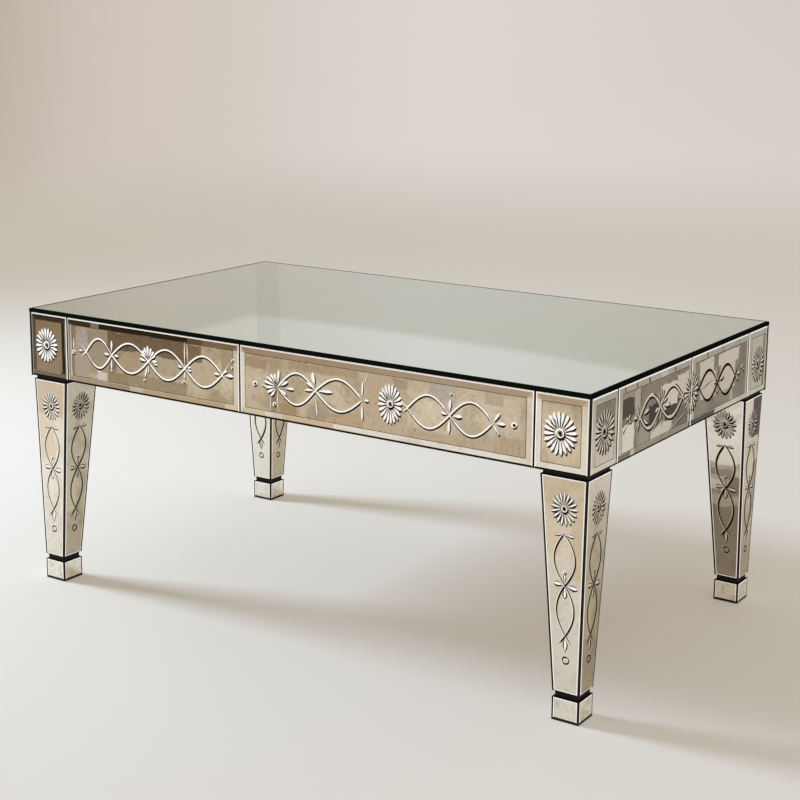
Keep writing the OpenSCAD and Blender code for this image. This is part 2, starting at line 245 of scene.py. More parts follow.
# The legs' fades and patches paint reflections into the silver, so front, back and side faces differ
frontLegSilver = {
    "name": "silverFrontLeg", "along": 0, "wander": 9.0, "soft": 3.0, "veins": 0.30, "cloud": 0.10,
    "fade": [(0, (0.84, 0.79, 0.69)), (90, (0.88, 0.83, 0.74)), (210, (0.90, 0.84, 0.73)),
             (262, (0.86, 0.75, 0.60)), (336, (0.80, 0.67, 0.50))],
    "patches": [
        (0, 80, 278, 340, (0.68, 0.55, 0.40)), (0, 42, 205, 278, (0.82, 0.69, 0.53)),
        (925, 962, 232, 262, (0.86, 0.73, 0.54)), (975, 1000, 200, 300, (0.80, 0.66, 0.48)),
    ],
}
backLegSilver = {
    "name": "silverBackLeg", "along": 0, "wander": 16.0, "soft": 2.0, "veins": 0.30, "cloud": 0.20,
    "fade": [(0, (0.84, 0.78, 0.66)), (38, (0.40, 0.36, 0.28)), (150, (0.40, 0.35, 0.27)),
             (190, (0.55, 0.50, 0.40)), (235, (0.96, 0.93, 0.84)), (336, (0.97, 0.94, 0.87))],
    "patches": [
        (920, 975, 207, 226, (0.42, 0.37, 0.29)), (930, 1000, 222, 230, (0.60, 0.54, 0.44)),
        (920, 962, 184, 200, (0.85, 0.79, 0.66)), (965, 1000, 180, 212, (0.36, 0.31, 0.23)),
        (940, 1000, 160, 176, (0.64, 0.58, 0.47)), (0, 80, -5, 345, (0.90, 0.86, 0.77)),
    ],
}
sideLegSilver = {
    "name": "silverSideLeg", "along": 1, "wander": 12.0, "soft": 2.4, "veins": 0.35, "cloud": 0.22,
    "fade": [(0, (0.50, 0.44, 0.31)), (80, (0.55, 0.48, 0.35)), (160, (0.68, 0.60, 0.45)),
             (245, (0.78, 0.71, 0.57)), (336, (0.90, 0.86, 0.76))],
    "patches": [
        (0, 80, 296, 340, (0.88, 0.84, 0.74)), (0, 30, 120, 200, (0.74, 0.66, 0.50)),
        (560, 600, 270, 340, (0.06, 0.05, 0.04)), (575, 600, 150, 230, (0.42, 0.36, 0.27)),
    ],
}
# How dull the old silver is and how wavy its glass; the scales are per millimetre
silverWear = {"metal": 0.985, "rough": (0.10, 0.24), "ripple": 0.2, "rippleDepth": 0.002,
              "cloudScale": 0.017, "veinScale": 0.021, "speckScale": 0.42, "hazeScale": 0.030,
              "rippleScale": 0.016}


# A group that tells how far a place is inside a box with soft edges
def softPatchGroup():
    tree = bpy.data.node_groups.new("softPatch", "ShaderNodeTree")
    for name, kind in (("Place", "Vector"), ("Low", "Vector"), ("High", "Vector"), ("Sharpness", "Float")):
        tree.interface.new_socket(name, in_out="INPUT", socket_type="NodeSocket" + kind)
    tree.interface.new_socket("Mask", in_out="OUTPUT", socket_type="NodeSocketFloat")
    given = tree.nodes.new("NodeGroupInput").outputs
    result = tree.nodes.new("NodeGroupOutput")
    halves = []
    for first, second in (("Place", "Low"), ("High", "Place")):
        gap = operate(tree, "SUBTRACT", given[first], given[second], vector=True)
        steep = addNode(tree, "ShaderNodeVectorMath", operation="SCALE")
        link(tree, gap, steep.inputs[0])
        link(tree, given["Sharpness"], steep.inputs["Scale"])
        floor = operate(tree, "MAXIMUM", steep.outputs[0], (0, 0, 0), vector=True)
        halves.append(operate(tree, "MINIMUM", floor, (1, 1, 1), vector=True))
    both = apart(tree, operate(tree, "MULTIPLY", *halves, vector=True))
    link(tree, operate(tree, "MULTIPLY", both["X"], both["Y"]), result.inputs["Mask"])
    return tree


softPatch = softPatchGroup()


def layPatches(tree, place, tone, patches, soft):
    for start, end, bottom, top, patchTone in patches:
        box = addNode(tree, "ShaderNodeGroup", node_tree=softPatch)
        link(tree, place, box.inputs["Place"])
        box.inputs["Low"].default_value = (start - soft / 2, bottom - soft / 2, 0)
        box.inputs["High"].default_value = (end + soft / 2, top + soft / 2, 0)
        box.inputs["Sharpness"].default_value = 1 / soft
        tone = mix(tree, "MIX", box.outputs["Mask"], tone, (*patchTone, 1))
    return tone


# Millimetres along a side, and up from the floor
def sidePlace(tree, along):
    start = [-c / mm for c in cadBox[0]]
    spots = apart(tree, objectCoords(tree, (1 / mm,) * 3, (start[0], start[1], 0)))
    return together(tree, spots[along], spots["Z"])


# Broad and fine wandering together leave a patch with a ragged edge
def wanderedPlace(tree, place, reach):
    for scale, far in ((0.022, reach), (0.11, reach * 0.3)):
        drift = noise(tree, place, scale, 3, 0.55)
        shift = operate(tree, "SUBTRACT", drift.outputs["Color"], (0.5, 0.5, 0.5), vector=True)
        place = operate(tree, "MULTIPLY_ADD", shift, (far * 2, far * 2, 0), place, vector=True)
    return place


def silverWithPaintedReflections(look):
    material, tree, shader = newMaterial(look["name"], metallic=silverWear["metal"])
    place = sidePlace(tree, look["along"])
    loose = wanderedPlace(tree, place, look["wander"])
    # Painted reflection: the tone follows the height up the panel
    low, high = look["fade"][0][0], look["fade"][-1][0]
    rise = addNode(tree, "ShaderNodeMapRange", {"From Min": low, "From Max": high})
    link(tree, apart(tree, loose)["Y"], rise.inputs["Value"])
    tone = ramp(tree, rise.outputs["Result"], [((h - low) / (high - low), c) for h, c in look["fade"]])
    cloud = noise(tree, place, silverWear["cloudScale"], 4, 0.58, 0.5)
    dim, bright = 1 - look["cloud"], 1 + look["cloud"] * 0.35
    tone = mix(tree, "MULTIPLY", 1.0, tone, ramp(tree, cloud.outputs["Fac"], [
        (0.36, (dim, dim * 0.97, dim * 0.93)), (0.52, grey(1)), (0.68, grey(bright))], True))
    # The patches paint mottled silvering and reflections of the room together
    tone = layPatches(tree, loose, tone, look["patches"], look["soft"])
    # Painted reflected light: a tint that runs along the side
    if "run" in look:
        reach = look["run"][-1][0]
        share = operate(tree, "DIVIDE", apart(tree, place)["X"], reach)
        tone = mix(tree, "MULTIPLY", 1.0, tone, ramp(tree, share, [(x / reach, c) for x, c in look["run"]]))
    veins = noise(tree, place, silverWear["veinScale"], 6, 0.6, 1.2)
    tone = mix(tree, "MULTIPLY", look["veins"], tone, ramp(tree, veins.outputs["Fac"], [
        (0.30, (0.55, 0.47, 0.40)), (0.40, grey(1)), (0.495, grey(1)), (0.505, (0.45, 0.36, 0.28)),
        (0.515, grey(1)), (0.62, grey(1)), (0.68, (0.80, 0.75, 0.70))]))
    specks = noise(tree, place, silverWear["speckScale"], 2, 0.5)
    tone = mix(tree, "MULTIPLY", 0.5, tone, ramp(tree, specks.outputs["Fac"], [
        (0.25, grey(0.4)), (0.32, grey(1)), (1, grey(1))]))
    link(tree, tone, shader.inputs["Base Color"])
    haze = noise(tree, place, silverWear["hazeScale"], 4, 0.6, 0.8)
    rough = addNode(tree, "ShaderNodeMapRange", {
        "From Min": 0.3, "From Max": 0.7, "To Min": silverWear["rough"][0], "To Max": silverWear["rough"][1]})
    link(tree, haze.outputs["Fac"], rough.inputs["Value"])
    link(tree, rough.outputs["Result"], shader.inputs["Roughness"])
    ripple = noise(tree, place, silverWear["rippleScale"], 1)
    addBump(tree, shader, ripple.outputs["Fac"], silverWear["ripple"], silverWear["rippleDepth"])
    return material


silverLong = silverWithPaintedReflections(longSilver)
silverShort = silverWithPaintedReflections(shortSilver)
bevelLong = silverWithPaintedReflections(longBevelSilver)
bevelShort = silverWithPaintedReflections(shortBevelSilver)
silverFrontLeg = silverWithPaintedReflections(frontLegSilver)
silverBackLeg = silverWithPaintedReflections(backLegSilver)
silverSideLeg = silverWithPaintedReflections(sideLegSilver)


# The top is newer glass: clearer, faintly green, with a few hazy clouds and fine dust
topLook = {"tone": (0.59, 0.655, 0.58), "metal": 0.97, "rough": (0.012, 0.030)}


def topSilverMaterial():
    material, tree, shader = newMaterial("silverTop", metallic=topLook["metal"])
    place = objectCoords(tree)
    haze = noise(tree, place, 5, 4, 0.6, 0.6)
    tone = topLook["tone"]
    link(tree, ramp(tree, haze.outputs["Fac"], [
        (0.3, tuple(c * 0.965 for c in tone)), (0.7, tone)], True), shader.inputs["Base Color"])
    dust = noise(tree, place, 60, 3, 0.6)
    rough = addNode(tree, "ShaderNodeMapRange", {
        "From Min": 0.3, "From Max": 0.7, "To Min": topLook["rough"][0], "To Max": topLook["rough"][1]})
    link(tree, dust.outputs["Fac"], rough.inputs["Value"])
    link(tree, rough.outputs["Result"], shader.inputs["Roughness"])
    return material


silverTop = topSilverMaterial()


# Cut glass. Bright cuts, and the ground arrises that share their finish, glow a little as painted light, and
# dark ones are near black as painted shade.
def cutMaterial(name, low, high, metallic, roughness, specular=0.5, glow=0.0):
    material, tree, shader = newMaterial(name, metallic=metallic, roughness=roughness, specular=specular)
    grind = noise(tree, objectCoords(tree), 900, 2)
    tone = ramp(tree, grind.outputs["Fac"], [(0.3, low), (0.7, high)])
    link(tree, tone, shader.inputs["Base Color"])
    if glow:
        link(tree, tone, shader.inputs["Emission Color"])
        shader.inputs["Emission Strength"].default_value = glow
    addBump(tree, shader, grind.outputs["Fac"], 0.1, 0.0001)
    return material


cutBright = cutMaterial("cutBright", (0.88, 0.87, 0.83), (1.0, 0.99, 0.97), 0.2, 0.22, glow=0.34)
# A dimmer, warmer copy of the bright cuts: painted shade, used on the short sides, the legs' side faces and
# the back legs
cutPale = cutMaterial("cutPale", (0.64, 0.59, 0.49), (0.82, 0.78, 0.68), 0.3, 0.25, glow=0.08)
cutDark = cutMaterial("cutDark", (0.008, 0.006, 0.004), (0.022, 0.018, 0.013), 0.0, 0.5, 0.0)
glassEdge = cutMaterial("glassEdge", (0.003, 0.005, 0.004), (0.007, 0.010, 0.008), 0.0, 0.4, 0.0)
foldLine = cutMaterial("foldLine", (0.07, 0.05, 0.032), (0.13, 0.095, 0.06), 0.4, 0.35, 0.0)

print("materials for the mirrors made")


# How a wheel cuts the glass: a V whose rims lie flatter. Rims that face away from the light are painted dark
# as shade, and the dark side is ground wider by darkWide.
wheelCut = {"bladeRim": 0.46, "lineRim": 0.55, "rimDepth": 0.62, "darkTowards": (0.6, -0.8), "darkWide": 1.8,
            "fullDarkFrom": 3.5, "leastSwell": 0.12, "steps": 7, "chainDepth": 0.55, "legDepth": 0.45,
            "strokeDepth": 0.35, "fade": 3.0}
floorBand, rimBand, darkBand = 0, 1, 2


def crossSection(half, depth, rim, leftWide=0.0, rightWide=0.0):
    inner = 1 - rim
    return [(-half - leftWide, 0), (-half * inner, depth * wheelCut["rimDepth"]), (0, depth),
            (half * inner, depth * wheelCut["rimDepth"]), (half + rightWide, 0)]


# Facets between the cross sections of a cut: each is three points (x, y, depth) and its band
def stripFacets(sections, bandsOf=lambda number: (rimBand, floorBand, floorBand, rimBand)):
    facets = []
    for number, (now, after) in enumerate(zip(sections, sections[1:])):
        bands = bandsOf(number)
        for k in range(4):
            quad = [now[k], now[k + 1], after[k + 1], after[k]]
            for tri in ((quad[0], quad[1], quad[2]), (quad[0], quad[2], quad[3])):
                (ax, ay, _), (bx, by, _), (cx, cy, _) = tri
                if abs((bx - ax) * (cy - ay) - (cx - ax) * (by - ay)) > 1e-4:
                    facets.append((tri, bands[k]))
    return facets


# Facets with a dark echo beside them, on the side away from the light: a shallow copy of the cut painted dark
# as its shadow
def shaded(facets, shift=1.9, share=0.65):
    x, y = (c * shift for c in wheelCut["darkTowards"])
    echo = [(tuple((a + x, b + y, d * share) for a, b, d in tri), darkBand) for tri, _ in facets]
    return facets + echo


# A cut along a path, its ends run out over a short way. It may be painted dark as shade but for its rim
# towards the light, which keeps the fill.
def groove(path, width, depth=0.5, fade=2.0, closed=False, rim=None, darkened=False):
    points = [Vector(p) for p in path]
    lengths = [0.0]
    for a, b in zip(points, points[1:]):
        lengths.append(lengths[-1] + (b - a).length)
    sections, leans = [], []
    for i, p in enumerate(points):
        if closed:
            before, after = points[i - 1 if i else -2], points[i + 1 if i < len(points) - 1 else 1]
        else:
            before, after = points[max(i - 1, 0)], points[min(i + 1, len(points) - 1)]
        along = (after - before).normalized()
        across = Vector((-along.y, along.x))
        near = min(lengths[i], lengths[-1] - lengths[i])
        swell = 1.0 if closed or fade <= 0 else min(1.0, wheelCut["leastSwell"] + near / fade)
        lean = across.dot(Vector(wheelCut["darkTowards"]))
        wide = wheelCut["darkWide"] * swell * abs(lean) * min(1.0, width / wheelCut["fullDarkFrom"])
        profile = crossSection(width / 2 * swell, depth * swell, rim or wheelCut["lineRim"],
                               wide if lean < 0 else 0, wide if lean > 0 else 0)
        sections.append([(*(p + across * s), d) for s, d in profile])
        leans.append(lean)

    # Painted shade: the floor and the rims are dark, all but the rim towards the light
    def darkenedBands(number):
        bands = (floorBand, darkBand, darkBand, darkBand)
        return bands if leans[number] + leans[number + 1] > 0 else bands[::-1]

    return stripFacets(sections, darkenedBands) if darkened else stripFacets(sections)


# One olive or leaf cut: starts and ends in a point, widest at the belly
def blade(center, angle, start, end, width, depth=0.8, belly=0.6, bend=0.0):
    turn = math.radians(angle)
    along = Vector((math.cos(turn), math.sin(turn)))
    across = Vector((-along.y, along.x))
    power = math.log(0.5) / math.log(belly)
    sections = []
    for k in range(wheelCut["steps"] + 1):
        t = k / wheelCut["steps"]
        swell = max(math.sin(math.pi * t ** power), 0.0) ** 0.7
        p = Vector(center) + along * (start + (end - start) * t) + across * (bend * t * t)
        profile = crossSection(width / 2 * swell, depth * swell, wheelCut["bladeRim"])
        sections.append([(*(p + across * s), d) for s, d in profile])
    return stripFacets(sections)


# A round hollow whose middle is painted dark as the shade in its depth
def dimple(center, radius, depth=0.6, count=12, pupil=0.5):
    rings = [(radius, 0), (radius * pupil, depth * 0.7), (0, depth)]
    facets = []
    for k in range(count):
        a, b = (math.tau * k / count, math.tau * (k + 1) / count)
        for (r0, d0), (r1, d1) in zip(rings, rings[1:]):
            band = floorBand if r0 == radius else darkBand
            quad = [(center[0] + r * math.cos(t), center[1] + r * math.sin(t), d)
                    for r, t, d in ((r0, a, d0), (r0, b, d0), (r1, b, d1), (r1, a, d1))]
            facets.append(((quad[0], quad[1], quad[2]), band))
            if r1 > 0:
                facets.append(((quad[0], quad[2], quad[3]), band))
    return facets


def ring(center, radius, width, count=16, darkened=False):
    turns = [math.tau * k / count for k in range(count + 1)]
    path = [(center[0] + radius * math.cos(turn), center[1] + radius * math.sin(turn)) for turn in turns]
    return groove(path, width, 0.5, 0, closed=True, darkened=darkened)


# A rosette is one petal repeated round a centre by geometry nodes. Its sizes are shares of the radius.
rosetteLook = {"petalStart": 0.25, "petalWidth": 0.215, "petalBelly": 0.68, "depth": 0.9}


def newSocket(tree, name, kind, default=None):
    socket = tree.interface.new_socket(name, in_out="INPUT", socket_type=kind)
    if default is not None:
        socket.default_value = default
    return socket.identifier


def nodeGroup(name):
    tree = bpy.data.node_groups.new(name, "GeometryNodeTree")
    tree.interface.new_socket("Geometry", in_out="INPUT", socket_type="NodeSocketGeometry")
    tree.interface.new_socket("Geometry", in_out="OUTPUT", socket_type="NodeSocketGeometry")
    tree.is_modifier = True
    return tree, tree.nodes.new("NodeGroupInput"), tree.nodes.new("NodeGroupOutput")


def rosetteTree():
    tree, given, result = nodeGroup("rosettePetals")
    ids = {
        "petals": newSocket(tree, "Petals", "NodeSocketInt", 20),
        "radiusX": newSocket(tree, "Radius across", "NodeSocketFloat", 24.0),
        "radiusY": newSocket(tree, "Radius up", "NodeSocketFloat", 27.0),
        "phase": newSocket(tree, "Phase", "NodeSocketFloat", 0.0),
        "material": newSocket(tree, "Material", "NodeSocketMaterial"),
    }
    spots = addNode(tree, "GeometryNodeMeshLine", {"Offset": (0, 0, 0)}, mode="OFFSET")
    link(tree, given.outputs["Petals"], spots.inputs["Count"])
    index = addNode(tree, "GeometryNodeInputIndex")
    share = addNode(tree, "ShaderNodeMath", operation="DIVIDE")
    link(tree, index.outputs["Index"], share.inputs[0])
    link(tree, given.outputs["Petals"], share.inputs[1])
    turn = addNode(tree, "ShaderNodeMath", {1: math.tau}, operation="MULTIPLY_ADD")
    link(tree, share.outputs[0], turn.inputs[0])
    link(tree, given.outputs["Phase"], turn.inputs[2])
    rotation = addNode(tree, "ShaderNodeCombineXYZ")
    link(tree, turn.outputs[0], rotation.inputs["Z"])
    copies = addNode(tree, "GeometryNodeInstanceOnPoints")
    link(tree, spots.outputs["Mesh"], copies.inputs["Points"])
    link(tree, given.outputs["Geometry"], copies.inputs["Instance"])
    link(tree, rotation.outputs[0], copies.inputs["Rotation"])
    oval = addNode(tree, "ShaderNodeCombineXYZ", {"Z": 1.0})
    link(tree, given.outputs["Radius across"], oval.inputs["X"])
    link(tree, given.outputs["Radius up"], oval.inputs["Y"])
    stretch = addNode(tree, "GeometryNodeTransform")
    link(tree, copies.outputs["Instances"], stretch.inputs["Geometry"])
    link(tree, oval.outputs[0], stretch.inputs["Scale"])
    real = addNode(tree, "GeometryNodeRealizeInstances")
    link(tree, stretch.outputs["Geometry"], real.inputs["Geometry"])
    paint = addNode(tree, "GeometryNodeSetMaterial")
    link(tree, real.outputs["Geometry"], paint.inputs["Geometry"])
    link(tree, given.outputs["Material"], paint.inputs["Material"])
    link(tree, paint.outputs["Geometry"], result.inputs["Geometry"])
    return tree, ids


# A plain mesh from an object whose modifier builds it
def bakeNodes(item):
    bpy.context.view_layer.update()
    seen = item.evaluated_get(bpy.context.evaluated_depsgraph_get())
    baked = bpy.data.meshes.new_from_object(seen)
    item.modifiers.clear()
    return baked


rosetteNodes, rosetteIds = rosetteTree()
petalFacets = blade((0, 0), 0, rosetteLook["petalStart"], 1.0, rosetteLook["petalWidth"],
                    rosetteLook["depth"], rosetteLook["petalBelly"])
petalMesh = bpy.data.meshes.new("petal")
petalMesh.from_pydata([p for tri, _ in petalFacets for p in tri], [],
                      [(3 * i, 3 * i + 1, 3 * i + 2) for i in range(len(petalFacets))])
bandStore = petalMesh.attributes.new("band", "INT", "FACE")
for i, (_, band) in enumerate(petalFacets):
    bandStore.data[i].value = band
petalItem = bpy.data.objects.new("petal", petalMesh)
scene.collection.objects.link(petalItem)


def rosette(center, radiusX, radiusY, petals, phase=0.1):
    grow = petalItem.modifiers.new("grow", "NODES")
    grow.node_group = rosetteNodes
    grow[rosetteIds["petals"]] = petals
    grow[rosetteIds["radiusX"]] = float(radiusX)
    grow[rosetteIds["radiusY"]] = float(radiusY)
    grow[rosetteIds["phase"]] = phase
    grow[rosetteIds["material"]] = cutBright
    mesh = bakeNodes(petalItem)
    bands = mesh.attributes["band"].data
    facets = []
    for face in mesh.polygons:
        spots = [mesh.vertices[v].co for v in face.vertices]
        tri = tuple((center[0] + spot.x, center[1] + spot.y, spot.z) for spot in spots)
        facets.append((tri, bands[face.index].value))
    bpy.data.meshes.remove(mesh)
    small = min(radiusX, radiusY)
    return facets + ring(center, small * 0.2, small * 0.15) + dimple(center, small * 0.14, 0.8, 10, 0.8)


print("rosette nodes ready")


# Millimetres along a side from its left end, and up or down from the middle line, whose height is above
# the floor. Leaves at a crossing are (angle, start, end, width); a fan is (angle, petals, reach, step).
longSide = {
    "middle": 393.5, "amplitude": 23.0, "petals": 20,
    "chains": [
        {"crossings": [(123.5, 0.7), (177.5, 2.0), (253, 1.5), (326, 1.0), (398, 0.5)], "tails": (11, 20),
         "width": 3.5},
        {"crossings": [(500.5, -3.3), (567.5, 1.0), (648, -1.0)], "tails": (0, 0), "width": 3.3},
        {"crossings": [(722.5, -1.0), (790, -1.3), (857, -1.8)], "tails": (10, 0), "width": 3.2},
    ],
    "rosettes": [(37, 0.5, 24.5, 28.5), (694.5, 0.5, 20.5, 29), (956, 0.2, 25, 30)],
    "dots": [(97, -3, 4.0), (459.5, -3.2, 4.4), (889, 0.5, 4.8), (418, 25, 2.6), (417, 14, 2.2),
             (495, -29, 3.6), (177, -22, 2.4), (245, -28, 2.4), (323, -20, 2.8), (792, 28, 2.0)],
    "strokes": [([(97, 0), (97, 10), (97, 21)], 2.2), ([(326, 4), (326, 24), (326, 42)], 2.6),
                ([(331.5, 14), (331.5, 26), (331.5, 38)], 1.8), ([(500, -41), (500.5, -20), (501, -6)], 1.8),
                ([(488, -40), (488, -26), (488, -12)], 1.6), ([(650, 18), (655, 30), (659, 41)], 1.6),
                ([(707, 12), (713, 6), (720, 1)], 2.2)],
    "leaves": {
        (177.5, 2.0): [(88, 5, 24, 4.4), (-91, 5, 22, 3.6), (178, 4, 16, 5.2), (0, 4, 14, 5.4)],
        (253, 1.5): [(172, 5, 18, 6.0), (8, 6, 18, 5.6), (-8, 9, 19, 4.4), (-106, 5, 26, 3.4),
                     (-90, 5, 18, 3.2)],
        (326, 1.0): [(172, 5, 14, 4.6), (-12, 4, 13, 4.4), (16, 4, 12, 4.2), (-92, 4, 16, 2.8)],
        (398, 0.5): [(178, 4, 16, 5.0), (2, 5, 21, 6.4), (42, 4, 12, 4.0)],
        (500.5, -3.3): [(30, 6, 22, 5.4), (2, 14, 30, 5.0), (-32, 5, 19, 5.6), (84, 6, 27, 5.0)],
        (567.5, 1.0): [(100, 6, 27, 7.0), (146, 6, 19, 5.0), (183, 4, 19, 4.2), (4, 5, 31, 5.4),
                       (-84, 8, 38, 2.2)],
        (648, -1.0): [(88, 4, 27, 3.4), (-89, 4, 29, 3.8), (2, 3, 11, 4.6)],
        (790, -1.3): [(87, 6, 23, 4.8), (-92, 5, 25, 4.6), (170, 4, 14, 5.0), (2, 5, 20, 6.2)],
        (857, -1.8): [(4, 5, 19, 6.0), (56, 3, 19, 4.4), (-56, 3, 19, 3.8)],
        (107, 0.5): [(10, 0, 9, 4.0)], (471, -3.6): [(-6, 0, 9, 3.2)],
    },
    "fans": {(253, 4): (92, 7, 23, 20), (500.5, -2.0): (170, 7, 26, 21)},
}
shortSide = {
    "middle": 393.5, "amplitude": 22.5, "petals": 20,
    "chains": [
        {"crossings": [(143, -2.3), (207, 0.5), (280, 0.0)], "tails": (17, 12), "width": 6.2},
        {"crossings": [(337, 2.5), (403, -2.7), (470, -4.5)], "tails": (10, 14), "width": 4.3, "darkened": True},
    ],
    "rosettes": [(39, 1, 29, 31), (309, 0, 25, 32), (559, -3.5, 26, 29.5)],
    "dots": [(399, -16, 3.0), (500, -2, 3.4)],
    "strokes": [([(80, -17), (92, -12), (105, -5)], 3.4), ([(143, 4), (143, 24), (143, 42)], 3.0),
                ([(181, -31), (192, -22), (203, -12)], 4.6), ([(211, -14), (212, -22), (213, -32)], 3.6),
                ([(239, -34), (239.5, -40), (240, -46)], 4.0), ([(240, -42), (268, -32), (298, -22)], 2.6),
                ([(345, -4), (364, 2), (386, 6)], 2.6)],
    "leaves": {
        (108, 0): [(60, 0, 10, 6.0), (130, 0, 10, 6.0), (-20, 0, 9, 5.0)],
        (143, -2.3): [(172, 6, 20, 7.0), (122, 5, 22, 6.0), (12, 10, 29, 7.0), (-28, 12, 30, 6.6),
                      (-112, 6, 18, 6.0)],
        (207, 0.5): [(-6, 10, 34, 8.0), (196, 5, 18, 7.0), (-84, 6, 20, 5.0), (22, 8, 24, 6.0)],
        (280, 0.0): [(176, 4, 13, 5.0)],
        (337, 2.5): [(178, 4, 14, 6.0)],
        (403, -2.7): [(12, 7, 24, 7.6), (172, 4, 14, 6.0), (100, 6, 26, 6.0), (-84, 8, 18, 5.0)],
        (470, -4.5): [(4, 6, 18, 7.0), (18, 20, 33, 5.6), (-40, 5, 16, 5.0)],
    },
    "fans": {(209, 3): (92, 5, 24, 24)},
}
# On a leg the layout runs up from the bottom of the panel; leaves are (angle, start, end, width)
legFace = {
    "rosette": (253, 20, 23.5), "petals": 17, "frontLine": 2.4, "backLine": 3.0,
    "bottomCross": 80.5, "midCross": 149.5, "apex": 220, "upperHalf": 15.5, "lowerHalf": 12.8,
    "tail": (9.5, 13), "ring": (46.7, 4.7), "ringLine": 1.9, "dot": (167, 2.8),
    "leaves": {
        (0, 219): [(-8, 2, 15, 4.4), (190, 3, 15, 3.2)],
        (0, 149.5): [(176, 3, 17, 7.0), (-8, 3, 19, 7.4), (90, 4, 15, 3.6), (-90, 4, 18, 6.6)],
        (0, 0): [(90, 58, 75, 6.8)],
    },
}


# Two strands that cross at the given places and swing between them
def chainCuts(chain, middle, amplitude, steps=16):
    crossings, tails = chain["crossings"], chain["tails"]
    cuts = []
    for sign in (1, -1):
        (firstX, firstLift), (lastX, lastLift) = crossings[0], crossings[-1]
        path = []
        if tails[0]:
            path.append((firstX - tails[0], middle + firstLift - sign * tails[0] * 0.95))
        for i, ((a, liftA), (b, liftB)) in enumerate(zip(crossings, crossings[1:])):
            swing = sign * amplitude * (1 if i % 2 == 0 else -1)
            for k in range(steps):
                t = k / steps
                lift = liftA + (liftB - liftA) * t + swing * math.sin(math.pi * t)
                path.append((a + (b - a) * t, middle + lift))
        path.append((lastX, middle + lastLift))
        if tails[1]:
            turn = sign * (1 if len(crossings) % 2 == 0 else -1)
            path.append((lastX + tails[1] * 0.75, middle + lastLift - turn * tails[1]))
        cuts += groove(path, chain["width"], wheelCut["chainDepth"], wheelCut["fade"],
                       darkened=chain.get("darkened", False))
    return cuts


def leafCuts(leaves, middle):
    return [facet for (x, y), blades in leaves.items() for angle, start, end, width in blades
            for facet in blade((x, middle + y), angle, start, end, width)]


def fanCuts(center, angle, count, reach, step, width=5.4):
    cuts = []
    for k in range(count):
        lean = (k - (count - 1) / 2) * step
        cuts += blade(center, angle + lean, 4, reach - abs(lean) * 0.1, width, belly=0.66)
    return cuts


def sideCuts(look):
    middle = look["middle"]
    cuts = []
    for chain in look["chains"]:
        cuts += chainCuts(chain, middle, look["amplitude"])
    for x, y, radiusX, radiusY in look["rosettes"]:
        cuts += shaded(rosette((x, middle + y), radiusX, radiusY, look["petals"]))
    cuts += shaded(leafCuts(look["leaves"], middle))
    for (x, y), (angle, count, reach, step) in look["fans"].items():
        cuts += shaded(fanCuts((x, middle + y), angle, count, reach, step))
    for x, y, radius in look["dots"]:
        cuts += shaded(dimple((x, middle + y), radius), 1.1)
    for path, width in look["strokes"]:
        cuts += groove([(x, middle + y) for x, y in path], width, wheelCut["strokeDepth"])
    return cuts


# Two strands from the tails at the bottom, over the middle crossing, to the apex
def legCuts(look, lineWidth, steps=16):
    height, radiusX, radiusY = look["rosette"]
    cuts = shaded(rosette((0, height), radiusX, radiusY, look["petals"], 0.05), 1.3)
    low, mid, top = look["bottomCross"], look["midCross"], look["apex"]
    spread, drop = look["tail"]
    for sign in (1, -1):
        path = [(-sign * spread, low - drop), (-sign * spread * 0.55, low - drop * 0.55)]
        for k in range(steps):
            t = k / steps
            path.append((sign * look["lowerHalf"] * math.sin(math.pi * t) ** 0.9, low + (mid - low) * t))
        for k in range(steps + 1):
            t = k / steps
            half = look["upperHalf"] * abs(math.sin(math.pi * t)) ** 0.9
            path.append((-sign * half, mid + (top - mid) * t))
        cuts += groove(path, lineWidth, wheelCut["legDepth"], wheelCut["fade"], rim=0.6, darkened=True)
    cuts += shaded(leafCuts(look["leaves"], 0), 1.0)
    cuts += shaded(dimple((0, look["dot"][0]), look["dot"][1], pupil=0.4), 1.0)
    cuts += ring((0, look["ring"][0]), look["ring"][1], look["ringLine"], darkened=True)
    return cuts


longCuts = sideCuts(longSide)
shortCuts = sideCuts(shortSide)
frontLegCuts = legCuts(legFace, legFace["frontLine"])
backLegCuts = legCuts(legFace, legFace["backLine"])
bpy.data.objects.remove(petalItem)
print("cuts laid out:", len(longCuts), len(shortCuts), len(frontLegCuts), len(backLegCuts))


# Facets are looked up by square cells of this size
cellSize = 4.0
# Finishes of a panel's faces, in the order of its materials
silverKind, fillKind, darkKind, edgeKind, bevelKind, foldKind, arrisKind = range(7)


def depthPlane(tri):
    (ax, ay, ad), (bx, by, bd), (cx, cy, cd) = tri
    det = (by - cy) * (ax - cx) + (cx - bx) * (ay - cy)
    return (ax, ay, ad, bx, by, bd, cx, cy, cd, det)


def weightsAt(plane, x, y):
    ax, ay, _, bx, by, _, cx, cy, _, det = plane
    u = ((by - cy) * (x - cx) + (cx - bx) * (y - cy)) / det
    v = ((cy - ay) * (x - cx) + (ax - cx) * (y - cy)) / det
    return u, v, 1 - u - v


# How far a rim facet turns away from the light, to the side of its cut painted dark, from -1 to 1
def darkTurn(tri):
    ax, ay, ad, bx, by, bd, cx, cy, cd, det = depthPlane(tri)
    slopeX = ((by - cy) * (ad - cd) + (cy - ay) * (bd - cd)) / det
    slopeY = ((cx - bx) * (ad - cd) + (ax - cx) * (bd - cd)) / det
    size = max(math.hypot(slopeX, slopeY), 1e-9)
    towards = wheelCut["darkTowards"]
    return -(slopeX * towards[0] + slopeY * towards[1]) / size
